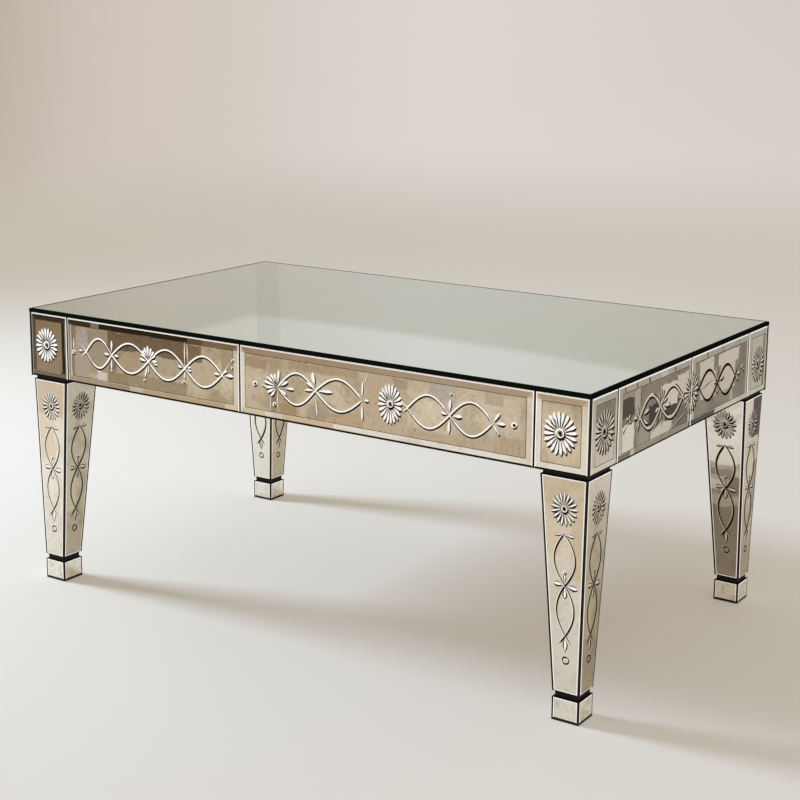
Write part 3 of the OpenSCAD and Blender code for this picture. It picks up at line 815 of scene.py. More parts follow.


# Triangulates the outline with every cut's edges in it, and sinks each point to the deepest cut there.
# Rims that turn away from the light by more than darkFrom are painted dark, as painted shade.
def engrave(outline, facets, folds, baseDepth, baseKind, darkFrom):
    points, index, edges = [], {}, []

    def pointAt(x, y):
        key = (round(x, 3), round(y, 3))
        if key not in index:
            index[key] = len(points)
            points.append(Vector(key))
        return index[key]

    loop = [pointAt(*p) for p in outline]
    edges += list(zip(loop, loop[1:] + loop[:1]))
    for a, b in folds:
        edges.append((pointAt(*a), pointAt(*b)))
    cells = {}
    for tri, band in facets:
        spots = [pointAt(x, y) for x, y, _ in tri]
        edges += [(spots[k], spots[(k + 1) % 3]) for k in range(3) if spots[k] != spots[(k + 1) % 3]]
        isDark = band == darkBand or (band == rimBand and darkTurn(tri) > darkFrom)
        entry = (depthPlane(tri), darkKind if isDark else fillKind)
        xs = [p[0] for p in tri]
        ys = [p[1] for p in tri]
        for i in range(int(min(xs) // cellSize), int(max(xs) // cellSize) + 1):
            for j in range(int(min(ys) // cellSize), int(max(ys) // cellSize) + 1):
                cells.setdefault((i, j), []).append(entry)
    edges = list({tuple(sorted(e)) for e in edges if e[0] != e[1]})
    found = delaunay_2d_cdt(points, edges, [], 0, 1e-5, False)
    flat, faces = found[0], found[2]

    def cutAt(x, y, slack):
        deepest, kind = 0.0, silverKind
        for plane, paint in cells.get((int(x // cellSize), int(y // cellSize)), ()):
            weights = weightsAt(plane, x, y)
            if min(weights) >= -slack:
                depth = weights[0] * plane[2] + weights[1] * plane[5] + weights[2] * plane[8]
                if depth > deepest:
                    deepest, kind = depth, paint
        return deepest, kind

    depths = [baseDepth(p.x, p.y) + cutAt(p.x, p.y, 1e-3)[0] for p in flat]
    kinds = []
    for face in faces:
        x = sum(flat[v].x for v in face) / len(face)
        y = sum(flat[v].y for v in face) / len(face)
        depth, kind = cutAt(x, y, 1e-6)
        kinds.append(kind if kind else baseKind(x, y))
    return [(p.x, p.y, d) for p, d in zip(flat, depths)], [list(f) for f in faces], kinds


# Makes a closed plate from an engraved front: toSpace places a point given across, up and in
def plateMesh(name, front, faces, kinds, toSpace, thickness, materials):
    verts = [toSpace(x, y, d) for x, y, d in front]
    rim = {}
    for face in faces:
        for a, b in zip(face, face[1:] + face[:1]):
            if (b, a) in rim:
                del rim[(b, a)]
            else:
                rim[(a, b)] = True
    follow = dict(rim.keys())
    start = next(iter(follow))
    loop = [start]
    while follow[loop[-1]] != start:
        loop.append(follow[loop[-1]])
    backs = {}
    for v in loop:
        backs[v] = len(verts)
        verts.append(toSpace(front[v][0], front[v][1], thickness))
    allFaces = faces + [[b, a, backs[a], backs[b]] for a, b in rim] + [[backs[v] for v in reversed(loop)]]
    allKinds = kinds + [edgeKind] * (len(rim) + 1)
    mesh = bpy.data.meshes.new(name)
    mesh.from_pydata(verts, [], allFaces)
    for material in materials:
        mesh.materials.append(material)
    mesh.polygons.foreach_set("material_index", allKinds)
    mesh.update()
    return mesh


def addPiece(name, mesh, slot, *nodes):
    piece = bpy.data.objects.new(name, mesh)
    scene.collection.objects.link(piece)
    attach(piece, "root")
    if nodes:
        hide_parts(*nodes)
    return piece


# Sizes of the apron's panels; fold is the dark line inside the bevel, ink the dark rim at the outer edge
apronPanel = {"bevel": 10.0, "bevelDrop": 1.0, "arris": 2.2, "arrisDrop": 0.9, "thickness": 3.0,
              "foldWidth": 0.9, "ink": 0.8}
apronPlaces = ["left_corner", "left", "right", "right_corner"]


def bevelDepth(width, height, look):
    def depth(x, y):
        near = max(min(x, width - x, y, height - y), 0.0)
        drop = look["bevelDrop"] * max(0.0, 1 - near / look["bevel"])
        return drop + look["arrisDrop"] * max(0.0, 1 - near / look["arris"])
    return depth


def bevelFolds(width, height, look):
    outer = [(0, 0), (width, 0), (width, height), (0, height)]
    frames = [outer]
    for inset in (look["ink"], look["arris"], look["bevel"], look["bevel"] + look["foldWidth"]):
        far, high = width - inset, height - inset
        frames.append([(inset, inset), (far, inset), (far, high), (inset, high)])
    folds = []
    for frameLine in frames[1:]:
        folds += list(zip(frameLine, frameLine[1:] + frameLine[:1]))
    for a, b in zip(frames, frames[1:]):
        folds += list(zip(a, b))
    return outer, folds


# Cuts that lie within a panel, measured from its own left lower corner
def cutsWithin(facets, left, bottom, width, margin=1.5):
    kept = []
    for tri, band in facets:
        xs = [p[0] - left for p in tri]
        if min(xs) > margin and max(xs) < width - margin:
            kept.append((tuple((x - left, y - bottom, d) for x, y, d in tri), band))
    return kept


def apronTemplate(node, side, facets, darkFrom):
    low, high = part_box(node)
    right = sides[side]["right"]
    ends = sorted((low.dot(right), high.dot(right)))
    sideStart = sum(min(cadBox[0][k] * right[k], cadBox[1][k] * right[k]) for k in range(2))
    left = (ends[0] - sideStart) / mm
    width = (ends[1] - ends[0]) / mm
    height = (high.z - low.z) / mm
    outer, folds = bevelFolds(width, height, apronPanel)

    def kind(x, y):
        near = min(x, width - x, y, height - y)
        if near < apronPanel["arris"]:
            darkened = near == y or (near < apronPanel["ink"] and near != height - y)
            return edgeKind if darkened else arrisKind
        if near < apronPanel["bevel"]:
            return bevelKind
        return foldKind if near < apronPanel["bevel"] + apronPanel["foldWidth"] else silverKind

    cuts = cutsWithin(facets, left, low.z / mm, width)
    return engrave(outer, cuts, folds, bevelDepth(width, height, apronPanel), kind, darkFrom)


def apronPlacer(node, side):
    low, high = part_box(node)
    right, out = sides[side]["right"], sides[side]["out"]
    x = low.x if right.x + out.x < 0 else high.x
    y = low.y if right.y + out.y < 0 else high.y
    origin = Vector((
        (low.x if right.x > 0 else high.x) if right.x else x,
        (low.y if right.y > 0 else high.y) if right.y else y,
        low.z))

    def place(across, rise, inwards):
        return origin + right * (across * mm) + up * (rise * mm) - out * (inwards * mm)
    return place


# Cuts, how much of their rims is dark, and finishes, for the long and the short sides. The short sides take
# more dark rims and the pale cuts, painted shade.
sideFinish = {
    True: (longCuts, -0.15, [silverLong, cutBright, cutDark, glassEdge, bevelLong, foldLine, cutBright]),
    False: (shortCuts, -0.55, [silverShort, cutPale, cutDark, glassEdge, bevelShort, foldLine, cutBright]),
}
templates = {}
for side in sides:
    isLong = side in ("front", "back")
    cuts, darkFrom, finishes = sideFinish[isLong]
    for spot in apronPlaces:
        node = f"apron_mirror_{side}_{spot}"
        key = (isLong, spot)
        if key not in templates:
            templates[key] = apronTemplate(node, side, cuts, darkFrom)
        front, faces, kinds = templates[key]
        mesh = plateMesh(node, front, faces, kinds, apronPlacer(node, side), apronPanel["thickness"],
                         finishes)
        addPiece(f"apronGlass_{side}_{spot}", mesh, "apron_mirror", node)
print("apron panels, faces each:", [len(template[1]) for template in templates.values()])


# Sizes of the legs' panels; every rim of their cuts is dark
legPanel = {"arris": 2.3, "arrisDrop": 0.8, "thickness": 2.0, "ink": 1.1, "darkFrom": -1.1}


# The four corners of a leg panel's outer face, from its solid: bottom left and right, then top
def legFaceCorners(node, side):
    right, out = sides[side]["right"], sides[side]["out"]
    spots = {tuple(round(c, 6) for c in v.co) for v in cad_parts[node].data.vertices}
    spots = [Vector(s) for s in spots]
    low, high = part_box(node)
    found = []
    for level in (low.z, high.z):
        row = sorted((s for s in spots if abs(s.z - level) < mm), key=lambda s: s.dot(out))[-2:]
        found += sorted(row, key=lambda s: s.dot(right))
    return found


def legTemplate(node, side, cuts):
    bottomLeft, bottomRight, topLeft, topRight = legFaceCorners(node, side)
    low = (bottomRight - bottomLeft).length / mm / 2
    high = (topRight - topLeft).length / mm / 2
    tall = ((topLeft + topRight) / 2 - (bottomLeft + bottomRight) / 2).length / mm
    lean = (high - low) / tall
    tilt = math.hypot(1, lean)

    def near(x, y):
        return max(min(y, tall - y, (low + lean * y - abs(x)) / tilt), 0.0)

    def inner(inset):
        a, b = inset, tall - inset
        return [(-(low + lean * a - inset * tilt), a), (low + lean * a - inset * tilt, a),
                (low + lean * b - inset * tilt, b), (-(low + lean * b - inset * tilt), b)]

    outline, ink, arris = inner(0), inner(legPanel["ink"]), inner(legPanel["arris"])
    folds = list(zip(arris, arris[1:] + arris[:1])) + list(zip(ink, ink[1:] + ink[:1]))
    folds += list(zip(outline, ink)) + list(zip(ink, arris))

    def depth(x, y):
        return legPanel["arrisDrop"] * max(0.0, 1 - near(x, y) / legPanel["arris"])

    def kind(x, y):
        if near(x, y) < legPanel["ink"]:
            return edgeKind
        return arrisKind if near(x, y) < legPanel["arris"] else silverKind

    return (*engrave(outline, cuts, folds, depth, kind, legPanel["darkFrom"]), tall)


def legPlacer(node, side, tall):
    right, out = sides[side]["right"], sides[side]["out"]
    bottomLeft, bottomRight, topLeft, topRight = legFaceCorners(node, side)
    foot = (bottomLeft + bottomRight) / 2
    rise = ((topLeft + topRight) / 2 - foot) / tall
    inwards = -right.cross(rise / rise.length)
    inwards = inwards.normalized() if inwards.dot(out) < 0 else -inwards.normalized()

    def place(across, height, depth):
        return foot + right * (across * mm) + rise * height + inwards * (depth * mm)
    return place


# The legs' side faces and the back legs take the pale cuts, painted shade; each silver carries its own
# painted reflections
def legFinishes(corner, side):
    if side in ("left", "right"):
        return silverSideLeg, cutPale
    return (silverFrontLeg, cutBright) if corner[0] == "f" else (silverBackLeg, cutPale)


legTemplates = {key: legTemplate("leg_mirror_fr_front", "front", cuts)
                for key, cuts in (("f", frontLegCuts), ("b", backLegCuts))}
for corner in corners:
    front, faces, kinds, tall = legTemplates[corner[0]]
    for side in sides:
        node = f"leg_mirror_{corner}_{side}"
        silver, fill = legFinishes(corner, side)
        finishes = [silver, fill, cutDark, glassEdge, silver, foldLine, cutBright]
        mesh = plateMesh(node, front, faces, kinds, legPlacer(node, side, tall), legPanel["thickness"],
                         finishes)
        addPiece(f"legGlass_{corner}_{side}", mesh, "leg_mirror", node)
print("leg panels, faces each:", len(faces))


# The top glass: its ground arris, and the width of the dark rim round the silver
topShape = {"arris": 0.8, "edge": 5.0}


# A slab ground at its edges, finished in glass there and silver across the top
def topGlass(node):
    low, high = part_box(node)
    arris, edge = topShape["arris"] * mm, topShape["edge"] * mm
    thickness = high.z - low.z
    levels = [(arris, 0), (0, arris), (0, thickness - arris), (arris, thickness), (edge, thickness)]
    verts = []
    for inset, rise in levels:
        for sx, sy in ((0, 0), (1, 0), (1, 1), (0, 1)):
            verts.append(((low.x + inset) if sx == 0 else (high.x - inset),
                          (low.y + inset) if sy == 0 else (high.y - inset), low.z + rise))
    faces, finish = [[3, 2, 1, 0]], [1]
    for row in range(len(levels) - 1):
        for k in range(4):
            a, b = row * 4 + k, row * 4 + (k + 1) % 4
            faces.append([a, b, b + 4, a + 4])
            finish.append(1)
    last = (len(levels) - 1) * 4
    faces.append([last + k for k in range(4)])
    finish.append(0)
    mesh = bpy.data.meshes.new("topGlass")
    mesh.from_pydata(verts, [], faces)
    for material in (silverTop, glassEdge):
        mesh.materials.append(material)
    mesh.polygons.foreach_set("material_index", finish)
    addPiece("topGlass", mesh, "top_mirror", node)


topGlass("top_mirror")


# Puts a part on every point of a mesh, turned by the point's "turn". The finish number on each of the
# part's faces picks one of three materials.
def placesTree():
    tree, given, result = nodeGroup("partOnPlaces")
    ids = {
        "part": newSocket(tree, "Part", "NodeSocketObject"),
        "size": newSocket(tree, "Size", "NodeSocketFloat", 1.0),
        "face": newSocket(tree, "Face material", "NodeSocketMaterial"),
        "rim": newSocket(tree, "Rim material", "NodeSocketMaterial"),
        "edge": newSocket(tree, "Edge material", "NodeSocketMaterial"),
    }
    part = addNode(tree, "GeometryNodeObjectInfo")
    link(tree, given.outputs["Part"], part.inputs["Object"])
    turn = addNode(tree, "GeometryNodeInputNamedAttribute", {"Name": "turn"}, data_type="FLOAT_VECTOR")
    copies = addNode(tree, "GeometryNodeInstanceOnPoints")
    link(tree, given.outputs["Geometry"], copies.inputs["Points"])
    link(tree, part.outputs["Geometry"], copies.inputs["Instance"])
    link(tree, turn.outputs["Attribute"], copies.inputs["Rotation"])
    link(tree, given.outputs["Size"], copies.inputs["Scale"])
    real = addNode(tree, "GeometryNodeRealizeInstances")
    link(tree, copies.outputs["Instances"], real.inputs["Geometry"])
    last = real.outputs["Geometry"]
    finish = addNode(tree, "GeometryNodeInputNamedAttribute", {"Name": "finish"}, data_type="INT")
    for number, name in enumerate(("Face material", "Rim material", "Edge material")):
        chosen = addNode(tree, "FunctionNodeCompare", data_type="INT", operation="EQUAL")
        link(tree, finish.outputs["Attribute"], chosen.inputs[2])
        chosen.inputs[3].default_value = number
        paint = addNode(tree, "GeometryNodeSetMaterial")
        link(tree, last, paint.inputs["Geometry"])
        link(tree, chosen.outputs[0], paint.inputs["Selection"])
        link(tree, given.outputs[name], paint.inputs["Material"])
        last = paint.outputs["Geometry"]
    link(tree, last, result.inputs["Geometry"])
    return tree, ids


placesNodes, placesIds = placesTree()


# One mesh with a part at each (place, turn), and a piece made of it
def setOut(name, partMesh, places, materials, slot, *nodes):
    part = bpy.data.objects.new(name + "Part", partMesh)
    scene.collection.objects.link(part)
    spots = bpy.data.meshes.new(name + "Places")
    spots.from_pydata([place for place, _ in places], [], [])
    turns = spots.attributes.new("turn", "FLOAT_VECTOR", "POINT")
    turns.data.foreach_set("vector", [c for _, turn in places for c in turn])
    holder = bpy.data.objects.new(name + "Places", spots)
    scene.collection.objects.link(holder)
    grow = holder.modifiers.new("setOut", "NODES")
    grow.node_group = placesNodes
    grow[placesIds["part"]] = part
    grow[placesIds["size"]] = 1.0
    for key, material in zip(("face", "rim", "edge"), materials):
        grow[placesIds[key]] = material
    mesh = bakeNodes(holder)
    mesh.name = name
    for attribute in [a for a in mesh.attributes if a.name in ("turn", "finish")]:
        mesh.attributes.remove(attribute)
    for item in (holder, part):
        bpy.data.objects.remove(item)
    return addPiece(name, mesh, slot, *nodes)


def partMesh(name, verts, faces, finishes):
    mesh = bpy.data.meshes.new(name)
    mesh.from_pydata(verts, [], faces)
    mesh.attributes.new("finish", "INT", "FACE").data.foreach_set("value", finishes)
    return mesh


# Rows of points round an axis, joined into one closed skin; radius(turn, row) gives each point
def turnedMesh(name, heights, radius, count, finishOf=lambda row: 0, bore=False):
    verts = [(radius(math.tau * k / count, row) * math.cos(math.tau * k / count),
              radius(math.tau * k / count, row) * math.sin(math.tau * k / count), z)
             for row, z in enumerate(heights) for k in range(count)]
    faces, finishes = [], []
    rows = len(heights)
    for row in range(rows if bore else rows - 1):
        after = (row + 1) % rows
        for k in range(count):
            n = (k + 1) % count
            faces.append((row * count + k, row * count + n, after * count + n, after * count + k))
            finishes.append(finishOf(row))
    if not bore:
        for row, order in ((0, -1), (rows - 1, 1)):
            verts.append((0, 0, heights[row]))
            for k in range(count):
                pair = (row * count + k, row * count + (k + 1) % count)[::order]
                faces.append((*pair, len(verts) - 1))
                finishes.append(finishOf(row))
    return partMesh(name, verts, faces, finishes)


# A cut thread: how far the surface stands out at a turn and a height
def threadRise(turn, height, pitch, deep):
    share = (height / pitch - turn / math.tau) % 1.0
    return deep * (1 - abs(2 * share - 1))


# Foot panels; bead is the black strip at each corner of a foot
footPanel = {"arris": 1.7, "arrisDrop": 0.6, "ink": 0.7, "thickness": 2.0, "bead": 2.2}
footLook = {"light": (0.95, 0.91, 0.82), "dark": (0.80, 0.73, 0.61), "vein": (0.50, 0.42, 0.33)}


def footSilver():
    material, tree, shader = newMaterial("silverFoot", metallic=0.9, roughness=0.16)
    place = objectCoords(tree)
    cloud = noise(tree, place, 60, 4, 0.6, 1.0)
    tone = ramp(tree, cloud.outputs["Fac"], [(0.35, footLook["dark"]), (0.55, footLook["light"])], True)
    veins = noise(tree, place, 45, 5, 0.6, 2.2)
    lines = ramp(tree, veins.outputs["Fac"], [(0.485, grey(0)), (0.5, grey(0.8)), (0.515, grey(0))])
    link(tree, mix(tree, "MIX", lines, tone, (*footLook["vein"], 1)), shader.inputs["Base Color"])
    addBump(tree, shader, cloud.outputs["Fac"], 0.1, 0.001)
    return material


silverFoot = footSilver()
footLow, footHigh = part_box("foot_mirrors_fr")
footWide = footHigh.x - footLow.x - 2 * footPanel["bead"] * mm
footTall = footHigh.z - footLow.z
inset, ink, drop = (footPanel[key] * mm for key in ("arris", "ink", "arrisDrop"))
frames = [(0, footPanel["thickness"] * mm), (0, drop), (ink, drop * (1 - ink / inset)), (inset, 0)]
verts = []
for shrink, back in frames:
    for sx, sz in ((0, 0), (1, 0), (1, 1), (0, 1)):
        x = (sx - 0.5) * footWide + shrink * (1 - 2 * sx)
        verts.append((x, back, sz * footTall + shrink * (1 - 2 * sz)))
faces = [(3, 2, 1, 0), (12, 13, 14, 15)]
finishes = [2, 0]  # dark glass behind and silver in front; the rims follow, dark along the bottom
for row, finish in ((0, 2), (1, 2), (2, 1)):
    for k in range(4):
        a, b = row * 4 + k, row * 4 + (k + 1) % 4
        faces.append((a, b, b + 4, a + 4))
        finishes.append(2 if k == 0 else finish)
footMesh = partMesh("footPanel", verts, faces, finishes)
for corner in corners:
    low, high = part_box(f"foot_mirrors_{corner}")
    middle = (low + high) / 2
    places = []
    for side in sides.values():
        face = Vector((middle.x, middle.y, low.z)) + side["out"] * (high.x - low.x) / 2
        places.append((face, (0, 0, math.atan2(side["right"].y, side["right"].x))))
    setOut(f"footGlass_{corner}", footMesh.copy(), places, (silverFoot, cutBright, glassEdge), "leg_mirror",
           f"foot_mirrors_{corner}")


def metalMaterial(name, low, high, roughness):
    material, tree, shader = newMaterial(name, metallic=1.0)
    wear = noise(tree, objectCoords(tree), 260, 4, 0.6)
    link(tree, ramp(tree, wear.outputs["Fac"], [(0.3, low), (0.7, high)]), shader.inputs["Base Color"])
    rough = addNode(tree, "ShaderNodeMapRange", {
        "From Min": 0.3, "From Max": 0.7, "To Min": roughness * 0.8, "To Max": roughness * 1.4})
    link(tree, wear.outputs["Fac"], rough.inputs["Value"])
    link(tree, rough.outputs["Result"], shader.inputs["Roughness"])
    return material


zincSteel = metalMaterial("zincSteel", (0.50, 0.50, 0.47), (0.74, 0.73, 0.68), 0.3)
turnedBrass = metalMaterial("turnedBrass", (0.62, 0.44, 0.18), (0.80, 0.62, 0.30), 0.28)
# Sizes in millimetres; rows is how many steps make one turn of a thread
woodScrew = {"head": 4.0, "headHeight": 3.0, "chamfer": 0.6, "shank": 2.0, "thread": 0.55, "pitch": 1.8,
             "plain": 6.0, "point": 5.0, "recess": 2.3, "recessArm": 0.45, "recessDepth": 1.5, "rows": 4,
             "sides": 12}
stud = {"radius": 4.0, "thread": 0.65, "pitch": 1.25, "rows": 4, "sides": 16, "point": 0.8}
flangedNut = {"across": 7.5, "flange": 9.0, "flangeHeight": 1.6, "chamfer": 0.7, "slope": 0.4, "bore": 3.5,
              "sides": 48}


# The connected bodies of a node, each as its lowest and highest corner
def bodiesOf(node):
    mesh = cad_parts[node].data
    number, leader = {}, []
    spots = []
    for v in mesh.vertices:
        key = tuple(round(c, 6) for c in v.co)
        if key not in number:
            number[key] = len(leader)
            leader.append(len(leader))
        spots.append(number[key])

    def top(a):
        while leader[a] != a:
            leader[a] = leader[leader[a]]
            a = leader[a]
        return a

    for face in mesh.polygons:
        ends = [top(spots[v]) for v in face.vertices]
        for end in ends[1:]:
            leader[top(end)] = top(ends[0])
    groups = {}
    for key, index in number.items():
        groups.setdefault(top(index), []).append(key)
    bodies = []
    for group in groups.values():
        bodies.append((Vector([min(p[k] for p in group) for k in range(3)]),
                       Vector([max(p[k] for p in group) for k in range(3)])))
    return sorted(bodies, key=lambda b: tuple(round(c, 5) for c in b[0]))


# A wood screw from its head at the origin along +Z, with a cross recess and a helical thread
def woodScrewMesh(length):
    look = woodScrew
    neck = look["headHeight"]
    heights = [0.0, look["chamfer"], neck, neck, neck + look["plain"]]
    step = look["pitch"] / look["rows"]
    while heights[-1] + step < length - 0.01:
        heights.append(heights[-1] + step)
    heights.append(length)
    root = look["shank"] - look["thread"]

    def radius(turn, row):
        if row < 3:
            return (look["head"] - look["chamfer"], look["head"], look["head"])[row]
        if row < 5:
            return look["shank"]
        z = heights[row]
        taper = max(0.08, min(1.0, (length - z) / look["point"]))
        return (root + threadRise(turn, z, look["pitch"], look["thread"])) * taper

    mesh = turnedMesh("woodScrew", [h * mm for h in heights], lambda t, r: radius(t, r) * mm, look["sides"])
    return recessed(mesh, look)


# Swaps the flat cap of a screw's head for one with a cross sunk in it
def recessed(mesh, look):
    count = look["sides"]
    arm, reach, depth = look["recessArm"] * mm, look["recess"] * mm, look["recessDepth"] * mm
    verts = [tuple(v.co) for v in mesh.vertices]
    faces = [tuple(f.vertices) for f in mesh.polygons if not all(abs(verts[i][2]) < 1e-7 for i in f.vertices)]
    rim = [Vector(verts[k][:2]) for k in range(count)]
    cross = [Vector((x, y)) for x, y in (
        (reach, arm), (arm, arm), (arm, reach), (-arm, reach), (-arm, arm), (-reach, arm),
        (-reach, -arm), (-arm, -arm), (-arm, -reach), (arm, -reach), (arm, -arm), (reach, -arm))]
    edges = [(k, (k + 1) % count) for k in range(count)]
    edges += [(count + k, count + (k + 1) % len(cross)) for k in range(len(cross))]
    points, _, tris, *_ = delaunay_2d_cdt(rim + cross + [Vector((0, 0))], edges, [], 1, 1e-8)
    capCentre = next(i for i, v in enumerate(verts) if Vector(v).length < 1e-7)
    verts[capCentre] = (0.0, 0.0, depth)
    places = list(range(count)) + [len(verts) + k for k in range(len(cross))] + [capCentre]
    verts += [(p.x, p.y, 0.0) for p in cross]
    for tri in tris:
        a, b, c = (points[i] for i in tri)
        faces.append(tuple(places[i] for i in (tri if (b - a).cross(c - a) < 0 else tri[::-1])))
    return partMesh("woodScrew", verts, faces, [0] * len(faces))


def studMesh(length):
    look = stud
    step = look["pitch"] / look["rows"]
    heights = [0.0]
    while heights[-1] + step < length - 0.01:
        heights.append(heights[-1] + step)
    heights.append(length)
    root = look["radius"] - look["thread"]

    def radius(turn, row):
        z = heights[row]
        blunt = min(z, length - z, look["point"]) - look["point"]
        return min(root + threadRise(turn, z, look["pitch"], look["thread"]), look["radius"] + blunt)

    return turnedMesh("stud", [h * mm for h in heights], lambda t, r: radius(t, r) * mm, look["sides"])


def nutMesh(tall):
    look = flangedNut
    flat = look["across"] * math.cos(math.pi / 6)
    chamfer, flange = look["chamfer"], look["flangeHeight"]
    heights = [0.0, 0.0, chamfer, flange, flange + look["slope"], tall - chamfer, tall, tall]

    def radius(turn, row):
        hexagon = flat / math.cos((turn + math.pi / 6) % (math.pi / 3) - math.pi / 6)
        return (look["bore"], look["flange"] - 0.3, look["flange"], look["flange"] - 0.6, hexagon, hexagon,
                min(hexagon, flat), look["bore"])[row]

    return turnedMesh("nut", [h * mm for h in heights], lambda t, r: radius(t, r) * mm, look["sides"],
                      bore=True)


# Screws whose heads are at one end of a long body: straight up, or from a block out into a board
def screwPlaces(bodies):
    places = []
    for low, high in bodies:
        middle, span = (low + high) / 2, high - low
        axis = max(range(3), key=lambda k: span[k])
        away = 1 if axis == 2 or middle[axis] > 0 else -1
        head = middle.copy()
        head[axis] = low[axis] if away > 0 else high[axis]
        direction = Vector([away if k == axis else 0 for k in range(3)])
        places.append((head, tuple(direction.to_track_quat("Z", "Y").to_euler())))
    return places


def longest(bodies):
    low, high = bodies[0]
    return max(high - low) / mm


for node, piece, maker in (
        ("top_screws", "cleatScrews", woodScrewMesh), ("block_screws", "blockScrews", woodScrewMesh),
        ("leg_bolts", "legStuds", studMesh)):
    bodies = bodiesOf(node)
    setOut(piece, maker(longest(bodies)), screwPlaces(bodies), (zincSteel,) * 3, "zinc_steel", node)
bodies = bodiesOf("leg_nuts")
nutPlaces = [(Vector(((low.x + high.x) / 2, (low.y + high.y) / 2, low.z)), (0, 0, 0)) for low, high in bodies]
setOut("legNuts", nutMesh((bodies[0][1].z - bodies[0][0].z) / mm), nutPlaces, (zincSteel,) * 3, "zinc_steel",
       "leg_nuts")
print("feet and fixings set out")


# Timber of the carcass; rings is how closely the rings of its grain lie
woodLook = {
    "softwood": {"pale": (0.62, 0.44, 0.25), "dark": (0.40, 0.24, 0.115), "rings": 26.0, "roughness": 0.62},
    "beech": {"pale": (0.60, 0.40, 0.24), "dark": (0.45, 0.28, 0.155), "rings": 60.0, "roughness": 0.5},
}


# Grain along one axis; a piece that has parts both ways turns it beyond the given x
def woodMaterial(name, along, turnBeyond=None):
    look = woodLook[name]
    title = f"{name}Along{'xyz'[along]}"
    material, tree, shader = newMaterial(title, roughness=look["roughness"], specular=0.3)
    tones = []
    for axis in (along, 1 - along) if turnBeyond else (along,):
        place = objectCoords(tree, tuple(0.06 if k == axis else 1.0 for k in range(3)))
        bands = noise(tree, place, look["rings"], 3, 0.5, 0.7)
        waves = operate(tree, "SINE", operate(tree, "MULTIPLY", bands.outputs["Fac"], 42.0))
        spread = operate(tree, "MULTIPLY_ADD", waves, 0.5, 0.5)
        pores = noise(tree, objectCoords(tree, tuple(0.03 if k == axis else 1.0 for k in range(3))), 900, 2)
        tone = ramp(tree, spread, [(0.0, look["pale"]), (0.75, look["pale"]), (1.0, look["dark"])], True)
        tones.append(mix(tree, "MULTIPLY", 0.35, tone, ramp(tree, pores.outputs["Fac"], [
            (0.3, (0.62, 0.55, 0.48)), (0.55, grey(1))])))
    tone = tones[0]
    if turnBeyond:
        reach = operate(tree, "ABSOLUTE", apart(tree, objectCoords(tree))["X"])
        tone = mix(tree, "MIX", operate(tree, "GREATER_THAN", reach, turnBeyond), tones[0], tones[1])
    link(tree, tone, shader.inputs["Base Color"])
    return material


def paintMaterial(name, low, high, roughness):
    material, tree, shader = newMaterial(name, roughness=roughness, specular=0.12)
    place = objectCoords(tree)
    brush = noise(tree, place, 120, 4, 0.6)
    link(tree, ramp(tree, brush.outputs["Fac"], [(0.3, low), (0.7, high)]), shader.inputs["Base Color"])
    addBump(tree, shader, brush.outputs["Fac"], 0.12, 0.0004)
    return material


blackPaint = paintMaterial("blackPaint", (0.007, 0.006, 0.005), (0.014, 0.012, 0.010), 0.42)
blackBoard = paintMaterial("blackBoard", (0.012, 0.011, 0.010), (0.026, 0.024, 0.021), 0.6)
glidePlastic = paintMaterial("glidePlastic", (0.016, 0.015, 0.014), (0.028, 0.026, 0.024), 0.5)
carcassFinish = {
    "top_board": blackBoard, "corner_beads": blackPaint, "apron_dowels": woodMaterial("beech", 1),
    "top_cleats": woodMaterial("softwood", 0, 0.43), "cross_rail": woodMaterial("softwood", 1),
    "foot_glides": glidePlastic, "leg_inserts": turnedBrass,
}
blockWood = woodMaterial("softwood", 2)
for side in sides:
    carcassFinish[f"apron_board_{side}"] = blackBoard
for corner in corners:
    carcassFinish[f"leg_core_{corner}"] = blackPaint
    carcassFinish[f"corner_block_{corner}"] = blockWood
for node, material in carcassFinish.items():
    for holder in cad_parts[node].material_slots:
        holder.material = material
print("carcass finished:", len(carcassFinish), "nodes")


# The studio paper glows and is the fill light; its tones paint light and shade across the studio. They run
# across it, in metres to the right of its middle, and turn from floor to wall between two heights. Above the
# higher of two sloping lines (slope, start) the wall's glow is lifted as painted brighter light, and a
# painted dim strip there shows as a darker reflection in the top.
studio = {
    "radius": 4.6, "sweep": 1.6, "height": 3.4, "paper": (0.50, 0.51, 0.52), "reach": 2.0,
    "floor": [(-2.0, (0.275, 0.24, 0.18)), (0.0, (0.27, 0.23, 0.17)), (2.0, (0.255, 0.205, 0.145))],
    "wall": [(-2.0, (0.17, 0.11, 0.05)), (-1.0, (0.34, 0.285, 0.24)), (0.2, (0.415, 0.38, 0.355)),
             (2.0, (0.345, 0.30, 0.26))],
    "turn": (0.02, 0.40), "rightwards": (0.831, 0.556, 0), "lift": (1.38, 1.46, 1.58),
    "liftLines": ((0.134, 1.405), (-0.25, 1.158)), "liftEdge": (-0.01, 0.02),
    "shelf": 0.86, "shelfLow": (-0.63, 1.08, 0), "shelfHigh": (-0.52, 1.47, 0), "paintedDimStripEdge": 90.0,
    "sky": (0.95, 0.93, 0.90), "skyStrength": 0.55,
}
keyLight = {"place": (-3.44, -0.8, 2.0), "aim": (0.1, 0.0, 0.2), "size": 0.9, "power": 54,
            "tone": (0.88, 1.0, 1.12), "spread": 105}


